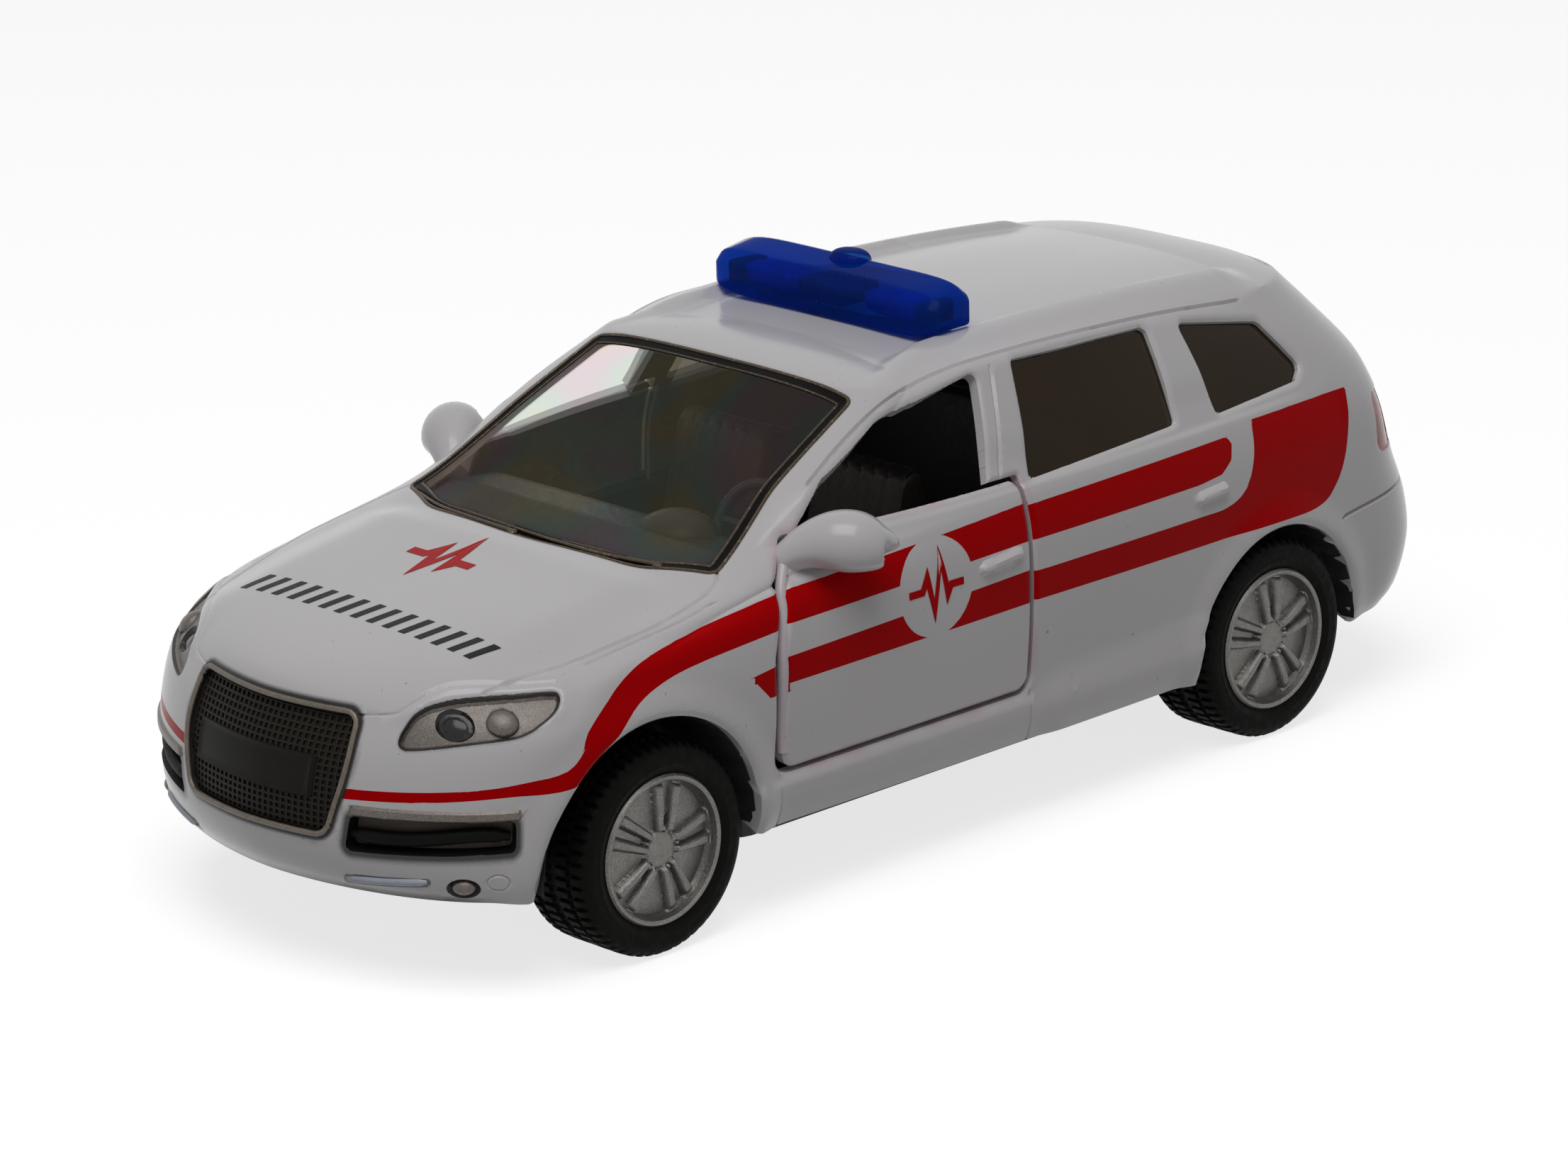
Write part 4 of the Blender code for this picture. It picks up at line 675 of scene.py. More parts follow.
def lift(points):
    """How far each point of the skin stands out from the plain shape."""
    x, y, z = points.T
    total = np.zeros(len(points))
    for arch in (front_arch, rear_arch):
        total += ARCH_LIP * falling(arch(points), ARCH_LIP_EDGE)
    flank = ramp(x, *FLANK_EDGE)
    total += SILL_RISE * flank * falling(z, SILL_TOP) * falling(np.abs(y), SILL_END)
    total -= BELT_DEPTH * flank * band(z, BELT_LOW, BELT_HIGH) * falling(np.abs(y), BELT_END)
    sill = falling(z - REAR_SILL_SLOPE * (y - REAR_SILL_Y), REAR_SILL_TOP)
    total += REAR_SILL_RISE * flank * sill * band(y, REAR_SILL_FRONT, REAR_SILL_END)
    total += DOME_RISE * falling(x, DOME_SIDE) * band(y, DOME_FRONT, DOME_REAR) * ramp(z, *DOME_LOW)
    for field, half, depth in GROOVES:
        total -= depth * np.clip(1 - np.abs(field(points)) / half, 0, 1)
    door = door_edge(points)
    total += np.where(door < SNAP, rolled(-door, *DOOR_ROLL), rolled(opening(points), *OPENING_ROLL))
    for field, reach, depth in ROLLED_EDGES:
        total += rolled(field(points), reach, depth)
    for field, start, wall, depth in RECESSES:
        total += recess(field(points) - start, wall, depth)
    for field, size, height in BULGES:
        total += bulge(size * (1 + field(points)), height)
    total += BROW_RISE * band(headlight(points), BROW_INNER, BROW_OUTER) * ramp(z, *BROW_LOW)
    for handle in handles:
        total += HANDLE_RISE * falling(np.abs(handle(points)), HANDLE_EDGE)
    away = rail_edge(points)
    rail = band(away, RAIL_INNER, RAIL_OUTER) * ramp(z, *RAIL_FOOT)
    rail = rail * ramp(y + RAIL_SLANT * np.maximum(away, 0), *RAIL_FRONT) * falling(y, RAIL_REAR)
    total += RAIL_RISE * rail
    return total


# Where the skin is refined: the field, the reach and the longest edge left
REFINED = (
    (opening, 0.7, 0.24), (door_edge, 0.6, 0.24), (windscreen, 1.1, 0.4), (headlight, 0.4, 0.26),
    (lens, 0.9, 0.22), (bulb, 0.9, 0.22), (intake, 0.5, 0.26), (lower_slot, 0.3, 0.24), (fog, 0.9, 0.2),
    (small_oval, 0.5, 0.16), (grille, 0.4, 0.3),
)
# Lines that the skin is cut along: the field and its values there
CUTS = (
    (front_arch, 0, 0.15, 0.35), (rear_arch, 0, 0.15, 0.35), (opening, 0, 0.12, 0.3),
    (door_edge, -0.35, -0.15, 0), (side_windows, 0, 0.15, 0.4), (tail_window, 0, 0.15, 0.4),
    (windscreen, *(place for place, _ in GASKET), -0.13, 0),
    (grille, 0, GRILLE_EDGE), (headlight, -0.16, -0.08, 0, 0.06, 0.22), (lens, -0.7, -0.375, -0.15, 0),
    (bulb, -0.5, -0.2, -0.06, 0), (intake, -0.22, 0, 0.3), (intake_brow, -0.15, 0), (lower_slot, -0.12, 0),
    (fog, -0.5, -0.15, 0, 0.2, 0.35), (tail_lamp, -0.12, 0), (plate_recess, -0.2, 0),
    (rail_edge, -0.45, -0.1, 0.3),
    *((handle, -0.5, -0.3, -0.12, 0.12, 0.3, 0.5) for handle in handles),
    *((field, -half, 0, half) for field, half, _ in GROOVES),
)
# What is painted over the white: the field, the value that it lies below and the paint
PAINTED = (
    (headlight, 0.06, DARK), (headlight, -0.08, SILVER), (lens, 0, LENS), (intake, 0, INTAKE_BLACK),
    # The dark ring round the fog lamp lies on the wall of its recess: painted shade
    (intake_brow, 0, SILVER), (fog, 0.35, DARK), (fog, 0, SILVER), (tail_lamp, 0, TAIL_RED),
    (grille, GRILLE_EDGE, DARK),
)


def make_skin():
    """The skin with all its lines cut, its paints chosen and its pieces told apart."""
    wall = smooth_levels([level_points(level) for level in BODY_LEVELS])
    grid = round_off(np.concatenate([wall, roof_points(wall[-1])]), len(wall) - 1)
    skin = Skin(*weld(grid.reshape(-1, 3), grid_triangles(*grid.shape[:2])))
    for field, reach, size in REFINED:
        skin.refine(field, reach, size)
    for field, *places in CUTS:
        skin.split_at(field, *places)
    for stripe in stripes:
        skin.fill(stripe, RED)
    skin.fill(disc, PAINT)
    middles = skin.middles()
    skin.paint[np.abs(handles[1](middles)) < HANDLE_EDGE[1]] = PAINT
    for field, limit, paint in PAINTED:
        skin.paint[field(middles) < limit] = paint
    for field in (opening, side_windows, windscreen, tail_window, grille, front_arch, rear_arch):
        skin.piece[field(middles) < 0] = GONE
    skin.piece[door_edge(middles) < 0] = DOOR
    return skin


def node(tree, kind, **values):
    """A shader node. A value that is a socket is linked, any other is set. Name i0 is the first input."""
    made = tree.nodes.new(f"ShaderNode{kind}")
    for name, value in values.items():
        if hasattr(made, name):
            setattr(made, name, value)
            continue
        socket = made.inputs[int(name[1:]) if name[1:].isdigit() else name.replace("_", " ")]
        if isinstance(value, bpy.types.NodeSocket):
            tree.links.new(value, socket)
        else:
            socket.default_value = value
    return made


def colour_steps(tree, value, *steps):
    """A ramp through (place, colour) steps. A colour may be one number for a grey."""
    made = node(tree, "ValToRGB", Fac=value)
    elements = made.color_ramp.elements
    for index, (place, colour) in enumerate(steps):
        element = elements[index] if index < 2 else elements.new(place)
        element.position = place
        element.color = (*np.broadcast_to(colour, 3), 1.0)
    return made.outputs["Color"]


def new_material(name, **values):
    """A Principled material, its node tree and object coordinates in metres."""
    material = bpy.data.materials.new(name)
    material.use_nodes = True
    tree = material.node_tree
    shader = tree.nodes["Principled BSDF"]
    for key, value in values.items():
        shader.inputs[key.replace("_", " ")].default_value = value
    place = node(tree, "TexCoord").outputs["Object"]
    return material, tree, shader, place


def bump(tree, shader, height, strength, distance):
    made = node(tree, "Bump", Height=height, Strength=strength, Distance=distance)
    tree.links.new(made.outputs["Normal"], shader.inputs["Normal"])


def noise(tree, place, scale, detail=3.0, roughness=0.5):
    made = node(tree, "TexNoise", Vector=place, Scale=scale, Detail=detail, Roughness=roughness)
    return made.outputs["Fac"]


def mix(tree, share, first, second):
    """A colour, given as a socket, mixed with another colour."""
    made = node(tree, "Mix", data_type="RGBA", i0=share, i6=first, i7=(*second, 1.0))
    return made.outputs[2]


def scaled(colour, factor):
    return tuple(min(1.0, factor * value) for value in colour)


MOTTLE, MOTTLE_SCALE = 0.12, 0.12


def speckled(name, base, fleck, scale, flecks, roughness, metallic, bump_size, shine):
    """A finish with soft mottling, fine flecks and an uneven surface."""
    material, tree, shader, place = new_material(
        name, Roughness=roughness, Metallic=metallic, Specular_IOR_Level=shine)
    soft = noise(tree, place, scale * MOTTLE_SCALE)
    fine = noise(tree, place, scale, 4.0, 0.65)
    colour = colour_steps(tree, soft, (0.3, scaled(base, 1 - MOTTLE)), (0.7, scaled(base, 1 + MOTTLE)))
    marks = colour_steps(tree, fine, (flecks, 0), (flecks + 0.06, 1))
    tree.links.new(mix(tree, marks, colour, fleck), shader.inputs["Base Color"])
    uneven = colour_steps(tree, fine, (0.3, roughness * 0.8), (0.7, min(1, roughness * 1.25)))
    tree.links.new(uneven, shader.inputs["Roughness"])
    if bump_size:
        bump(tree, shader, fine, 0.5, bump_size)
    return material


DUST_SCALE, SMEAR_SCALE, EDGING_GRAIN, PEEL_SCALE = 2600.0, 120.0, 26000.0, 420.0
EDGING_COLOUR = (0.02, 0.018, 0.017)


def enamel(name, base, smear_colour, shine=0.3, tint=(1, 1, 1), coat=0.1):
    """Gloss enamel with mottling, dust specks, print smears, dark speckled edging and an orange-peel
    surface.
    """
    material, tree, shader, place = new_material(
        name, Roughness=0.22, Specular_IOR_Level=shine, Specular_Tint=(*tint, 1), Coat_Weight=coat,
        Coat_Roughness=0.05)
    colour = colour_steps(tree, noise(tree, place, 60.0, 4.0), (0.25, scaled(base, 0.95)), (0.75, base))
    dust = colour_steps(tree, noise(tree, place, DUST_SCALE, 2.0, 0.4), (0.775, 0), (0.79, 0.7))
    colour = mix(tree, dust, colour, scaled(base, 0.35))
    drawn_out = node(tree, "Mapping", Vector=place, Scale=(1.0, 2.5, 0.8)).outputs["Vector"]
    smear = colour_steps(tree, noise(tree, drawn_out, SMEAR_SCALE, 5.0, 0.6), (0.69, 0), (0.80, 0.5))
    colour = mix(tree, smear, colour, smear_colour)
    pink = node(tree, "Attribute", attribute_name="pink").outputs["Fac"]
    pink = node(tree, "Math", operation="MULTIPLY", i0=pink, i1=0.55).outputs["Value"]
    colour = mix(tree, pink, colour, smear_colour)
    dark_edging = node(tree, "Attribute", attribute_name="dark_edging").outputs["Fac"]
    grain = noise(tree, place, EDGING_GRAIN, 2.0, 0.6)
    reach = node(tree, "Math", operation="MULTIPLY_ADD", i0=grain, i1=0.5, i2=dark_edging).outputs["Value"]
    colour = mix(tree, colour_steps(tree, reach, (0.36, 0), (1.0, 0.97)), colour, EDGING_COLOUR)
    tree.links.new(colour, shader.inputs["Base Color"])
    bump(tree, shader, noise(tree, place, PEEL_SCALE, 2.0), 0.25, 0.00006)
    return material


def glass(name, colour, alpha, shine, tint=(1, 1, 1), clear=0.0, bands=None):
    """Tinted plastic. A clear share lets light through it. Bands, where given, vary its tint in pastel
    colours that are a painted rainbow sheen.
    """
    material, tree, shader, place = new_material(
        name, Roughness=0.07, IOR=1.5, Alpha=alpha, Specular_IOR_Level=shine, Specular_Tint=(*tint, 1))
    if bands:
        base = colour_steps(tree, noise(tree, place, 95.0, 1.0, 0.4), *bands)
    else:
        soft = noise(tree, place, 70.0, 2.0)
        base = colour_steps(tree, soft, (0.35, scaled(colour, 0.7)), (0.65, colour))
    if clear:
        changed = {"Transmission Weight": clear, "Roughness": 0.0, "IOR": 1.02, "Coat Weight": 0.06}
        for socket, value in changed.items():
            shader.inputs[socket].default_value = value
    tree.links.new(base, shader.inputs["Base Color"])
    return material


# Finishes: base and fleck colours, scale and share of the flecks, roughness, metal, bump and shine
FINISHES = {
    "dark_paint": ((0.02, 0.018, 0.016), (0.06, 0.05, 0.045), 4500.0, 0.62, 0.45, 0.0, 0.00004, 0.25),
    "lamp_silver": ((0.12, 0.105, 0.094), (0.24, 0.22, 0.20), 20000.0, 0.54, 0.32, 0.6, 0.00003, 0.25),
    "intake_black": ((0.006, 0.0058, 0.0055), (0.03, 0.028, 0.026), 5000.0, 0.66, 0.5, 0.0, 0.0, 0.06),
    "lens_glass": ((0.012, 0.012, 0.013), (0.05, 0.05, 0.05), 900.0, 0.62, 0.15, 0.0, 0.0, 0.3),
    "tail_red": ((0.25, 0.012, 0.004), (0.5, 0.06, 0.01), 700.0, 0.55, 0.2, 0.0, 0.0, 0.2),
    "blue_white": ((0.44, 0.47, 0.54), (0.2, 0.2, 0.22), 4600.0, 0.64, 0.3, 0.0, 0.0, 0.25),
    "gasket": ((0.005, 0.0045, 0.004), (0.014, 0.011, 0.008), 6000.0, 0.62, 0.4, 0.0, 0.0, 0.04),
    # The inner side of the body and doors, dark brown-grey as painted shade
    "lining_shade": ((0.15, 0.125, 0.11), (0.2, 0.17, 0.15), 2600.0, 0.6, 0.5, 0.0, 0.0, 0.1),
    # Bronze of the wiper arms, also used for the painted highlight lines along the windscreen's gasket
    "bronze_trim_and_highlight": ((0.07, 0.05, 0.032), (0.22, 0.17, 0.12), 5200.0, 0.58, 0.4, 0.5, 0.0, 0.25),
    "wheel_silver": ((0.15, 0.145, 0.136), (0.30, 0.295, 0.28), 15000.0, 0.56, 0.34, 0.85, 0.00004, 0.25),
    "rubber": ((0.006, 0.0056, 0.005), (0.012, 0.011, 0.010), 2200.0, 0.6, 0.6, 0.0, 0.00004, 0.06),
    # Black of the grille's back and of the wheel wells; in the wells it is partly painted shade
    "black_and_well_shade": ((0.006, 0.006, 0.006), (0.015, 0.014, 0.013), 1500.0, 0.6, 0.7, 0.0, 0.00005, 0.25),
    "bronze": ((0.13, 0.112, 0.092), (0.24, 0.21, 0.18), 14000.0, 0.56, 0.36, 0.6, 0.00003, 0.25),
    "grille_bronze": ((0.018, 0.0145, 0.0115), (0.04, 0.033, 0.027), 14000, 0.56, 0.4, 0, 0.00003, 0.08),
    "panel_black": ((0.010, 0.009, 0.0075), (0.022, 0.019, 0.016), 9000.0, 0.6, 0.35, 0.0, 0.0, 0.08),
    "bar_black": ((0.006, 0.0058, 0.0055), (0.016, 0.015, 0.014), 7000.0, 0.66, 0.5, 0.0, 0.0, 0.06),
    "core_blue": ((0.0005, 0.004, 0.05), (0.002, 0.012, 0.12), 900.0, 0.55, 0.3, 0.0, 0.0, 0.05),
    # Dark blue of the boxes in the bar's ends, painted shade in their hollows
    "end_shade_blue": ((0.0005, 0.002, 0.02), (0.002, 0.01, 0.08), 1200.0, 0.6, 0.25, 0.0, 0.0, 0.05),
    "lamp_blue": ((0.015, 0.04, 0.4), (0.04, 0.07, 0.6), 900.0, 0.55, 0.3, 0.0, 0.0, 0.05),
    "cabin_blue": ((0.010, 0.012, 0.018), (0.022, 0.025, 0.035), 3000.0, 0.6, 0.45, 0.0, 0.00003, 0.25),
    "cabin_brown": ((0.020, 0.016, 0.014), (0.04, 0.033, 0.028), 2500.0, 0.6, 0.5, 0.0, 0.00003, 0.25),
    "base_grey": ((0.035, 0.035, 0.038), (0.07, 0.07, 0.075), 2400.0, 0.6, 0.45, 0.2, 0.00005, 0.25),
    "steel": ((0.35, 0.35, 0.36), (0.5, 0.5, 0.5), 5000.0, 0.58, 0.3, 0.9, 0.00002, 0.25),
    "print_black": ((0.006, 0.006, 0.006), (0.014, 0.014, 0.014), 9000.0, 0.62, 0.4, 0.0, 0.0, 0.1),
}
# Pastel bands in the windscreen's tint: a painted rainbow sheen, standing in for the colours in its
# reflection
RAINBOW_SHEEN_BANDS = (
    (0.26, (0.52, 0.43, 0.33)), (0.37, (0.66, 0.56, 0.30)), (0.45, (0.42, 0.56, 0.44)),
    (0.53, (0.62, 0.42, 0.48)), (0.61, (0.64, 0.47, 0.33)), (0.72, (0.54, 0.48, 0.38)),
)
look = {name: speckled(name, *values) for name, values in FINISHES.items()}
look["white_paint"] = enamel("white_paint", (0.64, 0.622, 0.635), (0.62, 0.45, 0.50))
look["lip_paint"] = enamel("lip_paint", (0.62, 0.56, 0.60), (0.58, 0.36, 0.45))
look["red_print"] = enamel(
    "red_print", (0.52, 0.001, 0.003), (0.42, 0.001, 0.003), shine=0.05, tint=(1, 0.1, 0.1), coat=0.0)
look["brown_glass"] = glass("brown_glass", (0.028, 0.016, 0.006), 0.86, 0.15, tint=(1, 0.8, 0.6))
look["screen_glass"] = glass("screen_glass", None, 0.8, 0.22, clear=0.92, bands=RAINBOW_SHEEN_BANDS)
look["clear_blue"] = glass("clear_blue", (0.0006, 0.045, 0.44), 1.0, 0.05, tint=(0.1, 0.3, 1), clear=0.6)
SKIN_LOOKS = (
    "white_paint", "red_print", "dark_paint", "lamp_silver", "intake_black", "lens_glass", "tail_red",
    "lining_shade",
)


def add_piece(name, shape, looks, body, paint=None, angle=38.0, replaces=None, slot=None, marks=None):
    """A mesh piece on a body, from points in millimetres and faces. Marks are values at the points."""
    points, faces = shape
    used, index = np.unique(faces, return_inverse=True)
    corners = [list(dict.fromkeys(face)) for face in index.reshape(np.shape(faces)).tolist()]
    mesh = bpy.data.meshes.new(name)
    mesh.from_pydata((np.asarray(points)[used] * MM).tolist(), [], corners)
    for word in looks:
        mesh.materials.append(look[word])
    if paint is not None:
        mesh.polygons.foreach_set("material_index", np.ascontiguousarray(paint, np.int32))
    for mark, values in (marks or {}).items():
        attribute = mesh.attributes.new(mark, "FLOAT", "POINT")
        attribute.data.foreach_set("value", np.ascontiguousarray(values[used], np.float32))
    mesh.shade_smooth()
    mesh.set_sharp_from_angle(angle=math.radians(angle))
    obj = bpy.data.objects.new(name, mesh)
    bpy.context.scene.collection.objects.link(obj)
    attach(obj, body)
    if replaces:
        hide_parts(replaces)


def add_pair(name, shape, looks, body, replaces="", **values):
    """A piece on the left and its mirror image on the right. The names take the word of the side."""
    points, faces = shape
    for sign, word in ((1, "left"), (-1, "right")):
        turned = points * (sign, 1, 1), faces[:, ::sign]
        add_piece(
            name.format(word), turned, looks, body.format(word), replaces=replaces.format(word), **values)


# Dark speckled edging round the intake, grille and headlights, and darker towards the foot of the front
EDGING_IN_INTAKE, EDGING_TOP = (-0.05, 0.85), (11.4, 12.0)
EDGING_LOW, EDGING_LOW_TOP, EDGING_LOW_END = 0.75, (6.0, 6.5), (-42.0, -38.0)
EDGING_GRILLE, EDGING_GRILLE_EDGE = 0.9, (0.25, 0.6)
EDGING_LAMP, EDGING_LAMP_EDGE = 0.35, (0.05, 0.3)
PINK_EDGE, PINK_PATCHES = (0.1, 0.6), (0.2, 0.9)


def paint_marks(points):
    """Where dark speckled edging and pink print colour lie on the paint. The edging rings the intake, grille
    and headlights, and the front grows darker towards its foot.
    """
    folded = np.abs(points) * (1, 0, 0) + points * (0, 1, 1)
    _, y, z = folded.T
    dark_edging = np.max([
        falling(intake(folded), EDGING_IN_INTAKE) * falling(z, EDGING_TOP),
        EDGING_LOW * falling(z, EDGING_LOW_TOP) * falling(y, EDGING_LOW_END),
        EDGING_GRILLE * falling(grille(folded), EDGING_GRILLE_EDGE),
        EDGING_LAMP * falling(headlight(folded), EDGING_LAMP_EDGE),
    ], axis=0)
    pink = falling(np.minimum(np.abs(door_edge(folded)), np.abs(door_opening(folded))), PINK_EDGE)
    return {"dark_edging": dark_edging, "pink": pink * ramp(patches(folded), *PINK_PATCHES)}


def patches(points):
    """A smooth uneven value from 0 to 1."""
    x, y, z = points.T
    return 0.5 + 0.25 * np.sin(1.9 * y + 0.7 * z) + 0.25 * np.sin(1.3 * z - 0.6 * y + 0.4 * x)


def with_lining(points, inner, faces, paint):
    """Gives a left half of the skin an inner side, joined round every edge but the middle of the car. The
    inner side is painted dark brown-grey, as painted shade inside the body.
    """
    ends = np.concatenate([faces[:, [0, 1]], faces[:, [1, 2]], faces[:, [2, 0]]])
    _, index, count = np.unique(np.sort(ends, axis=1), axis=0, return_inverse=True, return_counts=True)
    single = (count[index.reshape(-1)] == 1) & (points[ends, 0] > SNAP).any(axis=1)
    a, b = ends[single].T
    c, d = a + len(points), b + len(points)
    rim = np.concatenate([np.stack([b, a, c], axis=1), np.stack([b, c, d], axis=1)])
    lining = faces[:, ::-1] + len(points)
    return (np.concatenate([points, inner]), np.concatenate([faces, rim, lining]),
            np.concatenate([paint, np.full(2 * single.sum(), PAINT), np.full(len(faces), SHADED_INSIDE)]))


def mirrored(points, faces, paint):
    """A left half with its mirror image joined to it along the middle, as a shape and its paints."""
    twin = np.where(points[:, 0] < SNAP, np.arange(len(points)), np.arange(len(points)) + len(points))
    points = points * np.where(points[:, :1] < SNAP, (0, 1, 1), 1)
    whole = np.concatenate([points, points * (-1, 1, 1)]), np.concatenate([faces, twin[faces][:, ::-1]])
    return whole, np.concatenate([paint, paint])


skin = make_skin()
skin_normals = skin.normals()
outer = skin.points + skin_normals * lift(skin.points)[:, None]
SURFACE = BVHTree.FromPolygons(outer.tolist(), skin.faces.tolist())


def make_body():
    """The cast body and the two doors, each with an outer and an inner side."""
    inner = skin.points - WALL * skin.soothed(skin_normals, LINING_ROUNDS)
    keep = skin.piece == BODY
    whole, paint = mirrored(*with_lining(outer, inner, skin.faces[keep], skin.paint[keep]))
    add_piece(
        "body_paintwork", whole, SKIN_LOOKS, "car", paint, replaces="body_shell", slot="white_paint",
        marks=paint_marks(whole[0]))
    keep = skin.piece == DOOR
    points, faces, paint = with_lining(outer, inner, skin.faces[keep], skin.paint[keep])
    add_pair(
        "door_panel_{}", (points, faces), SKIN_LOOKS, "{}_door", "door_{}", paint=paint, slot="white_paint",
        marks=paint_marks(points))


GLASS_OVERLAP, SCREEN_OVERLAP, GLASS_DEPTH, SCREEN_REACH = 0.4, 0.3, 0.5, 0.35


def make_glass():
    """The windows, set in from the body, with a dark gasket and two bright bronze lines round the
    windscreen, which are painted highlights on the gasket's ridges.
    """
    middles = skin.middles()
    screen = windscreen(middles)
    others = np.minimum(tail_window(middles), side_windows(middles))
    keep = (screen < SCREEN_OVERLAP) | (others < GLASS_OVERLAP)
    paint = np.where(screen < GASKET[0][0], 0, np.where(screen < SCREEN_OVERLAP, 2, 1))
    # The two bronze lines are painted highlights along the gasket's ridges
    for low, high in GASKET_HIGHLIGHTS:
        paint[(screen > low) & (screen < high)] = 3
    away = windscreen(skin.points)
    rise = np.where(away < SCREEN_REACH, np.interp(away, *np.array(GASKET).T), -GLASS_DEPTH)
    whole, paint = mirrored(skin.points + skin_normals * rise[:, None], skin.faces[keep], paint[keep])
    add_piece(
        "window_glass", whole, ("screen_glass", "brown_glass", "gasket", "bronze_trim_and_highlight"), "car", paint,
        replaces="window_unit", slot="tinted_plastic")


def grid_quads(rows, columns, wrap=False):
    """Quads over a grid of points. A wrapped grid closes on its first column."""
    index = np.arange(rows * columns).reshape(rows, columns)
    if wrap:
        index = np.concatenate([index, index[:, :1]], axis=1)
    corners = index[:-1, :-1], index[:-1, 1:], index[1:, 1:], index[1:, :-1]
    return np.stack(corners, axis=-1).reshape(-1, 4)


TUBE_UP = (0.31, 0.2, 0.93)


def tube(line, radius, closed=False, steps=8):
    """A round tube along a line of points. The radius may change along it."""
    line = np.asarray(line, float)
    radius = np.broadcast_to(radius, len(line))
    ahead = np.roll(line, -1, axis=0) - np.roll(line, 1, axis=0)
    if not closed:
        ahead[0], ahead[-1] = line[1] - line[0], line[-1] - line[-2]
    ahead /= np.linalg.norm(ahead, axis=1)[:, None]
    side = np.cross(ahead, TUBE_UP)
    side /= np.linalg.norm(side, axis=1)[:, None]
    up = np.cross(side, ahead)
    turn = np.linspace(0, 2 * math.pi, steps, endpoint=False)[None, :, None]
    around = np.cos(turn) * side[:, None] + np.sin(turn) * up[:, None]
    points = (line[:, None] + radius[:, None, None] * around).reshape(-1, 3)
    faces = grid_quads(len(line), steps, wrap=True)
    first = np.arange(steps)
    last = len(points) - steps + first
    if closed:
        seam = np.stack([last, np.roll(last, -1), np.roll(first, -1), first], axis=1)
        return points, np.concatenate([faces, seam])
    tips = np.full(steps, len(points)), np.full(steps, len(points) + 1)
    caps = [np.stack([ring, np.roll(ring, -1), tip, tip], axis=1) for ring, tip in zip((first, last), tips)]
    return np.concatenate([points, line[:1], line[-1:]]), np.concatenate([faces, *caps])


def joined(*shapes):
    """Several shapes as one."""
    starts = np.cumsum([0, *(len(points) for points, _ in shapes)])
    return (np.concatenate([points for points, _ in shapes]),
            np.concatenate([faces + start for (_, faces), start in zip(shapes, starts)]))


def lathe(rings, columns):
    """Rings (x, radius) turned round the X axis. Each may vary with the angle."""
    turn = np.linspace(0, 2 * math.pi, columns, endpoint=False)
    rows = []
    for x, radius in rings:
        x, radius = np.broadcast_to(x, columns), np.broadcast_to(radius, columns)
        rows.append(np.stack([x, radius * np.cos(turn), radius * np.sin(turn)], axis=1))
    return np.concatenate(rows), grid_quads(len(rows), columns, wrap=True)


def cast(starts, direction, rise):
    """Points met on the body from the starts, raised from it. It is mirrored for starts on the right."""
    places = []
    for (x, y, z), height in zip(starts, np.broadcast_to(rise, len(starts))):
        hit, normal, _, _ = SURFACE.ray_cast(Vector((abs(x), y, z)), Vector(direction))
        place = hit + normal * (height if normal.dot(Vector(direction)) < 0 else -height)
        places.append((place.x if x >= 0 else -place.x, place.y, place.z))
    return np.array(places)


def drape(x, z, rise=0.0):
    """Points on the front of the body seen straight on, raised from it."""
    return cast([(a, -FAR, b) for a, b in zip(np.ravel(x), np.ravel(z))], (0, 1, 0), rise)


def drop(x, y, rise=0.0):
    """Points on the body seen from above, raised from it."""
    return cast([(a, b, FAR) for a, b in zip(np.ravel(x), np.ravel(y))], (0, 0, -1), rise)


def press(y, z, rise=0.0):
    """Points on the left flank seen from the side, moved straight outward."""
    return cast([(FAR, a, b) for a, b in zip(np.ravel(y), np.ravel(z))], (-1, 0, 0), 0.0) + (rise, 0, 0)


# The rim's dish as radius and depth, and its back as depth and radius
RIM_ROWS, RIM_COLUMNS, RIM_CENTRE = 52, 360, 0.02
RIM_DISH = (
    (0.0, -0.3), (0.9, -0.32), (1.05, -0.36), (1.2, -0.55), (1.4, -0.62), (2.6, -0.66), (3.7, -0.8),
    (4.05, -0.84), (4.22, -0.5), (4.32, -0.08), (4.42, 0.0), (4.58, -0.02), (RIM_RADIUS, -0.18),
)
RIM_BACK = (
    (-0.7, RIM_RADIUS), (-0.75, 4.5), (-TYRE_WIDTH, 4.5), (-TYRE_WIDTH, 4.0), (-2.4, 3.7), (-2.2, 1.7),
    (-TYRE_WIDTH, 1.5), (-TYRE_WIDTH, 1.05),
)
SPOKE_PAIRS, SPOKE_RISE, SPOKE_HALF, SPOKE_APART = 5, 0.5, 0.28, 0.40
SPOKE_START, SPOKE_SPREAD, SPOKE_GROWTH = 1.2, 0.13, 0.06
SPOKE_TOP, SPOKE_ROUNDING, SPOKE_ROOT, SPOKE_EDGE = 1.25, 0.7, (0.95, 1.3), (4.0, 4.25)
SPOKE_TIP, SPOKE_TIP_SLOPE = 4.15, 0.4
LUG_RADIUS, LUG_SIZE, LUG_RISE = 1.32, 0.2, 0.75


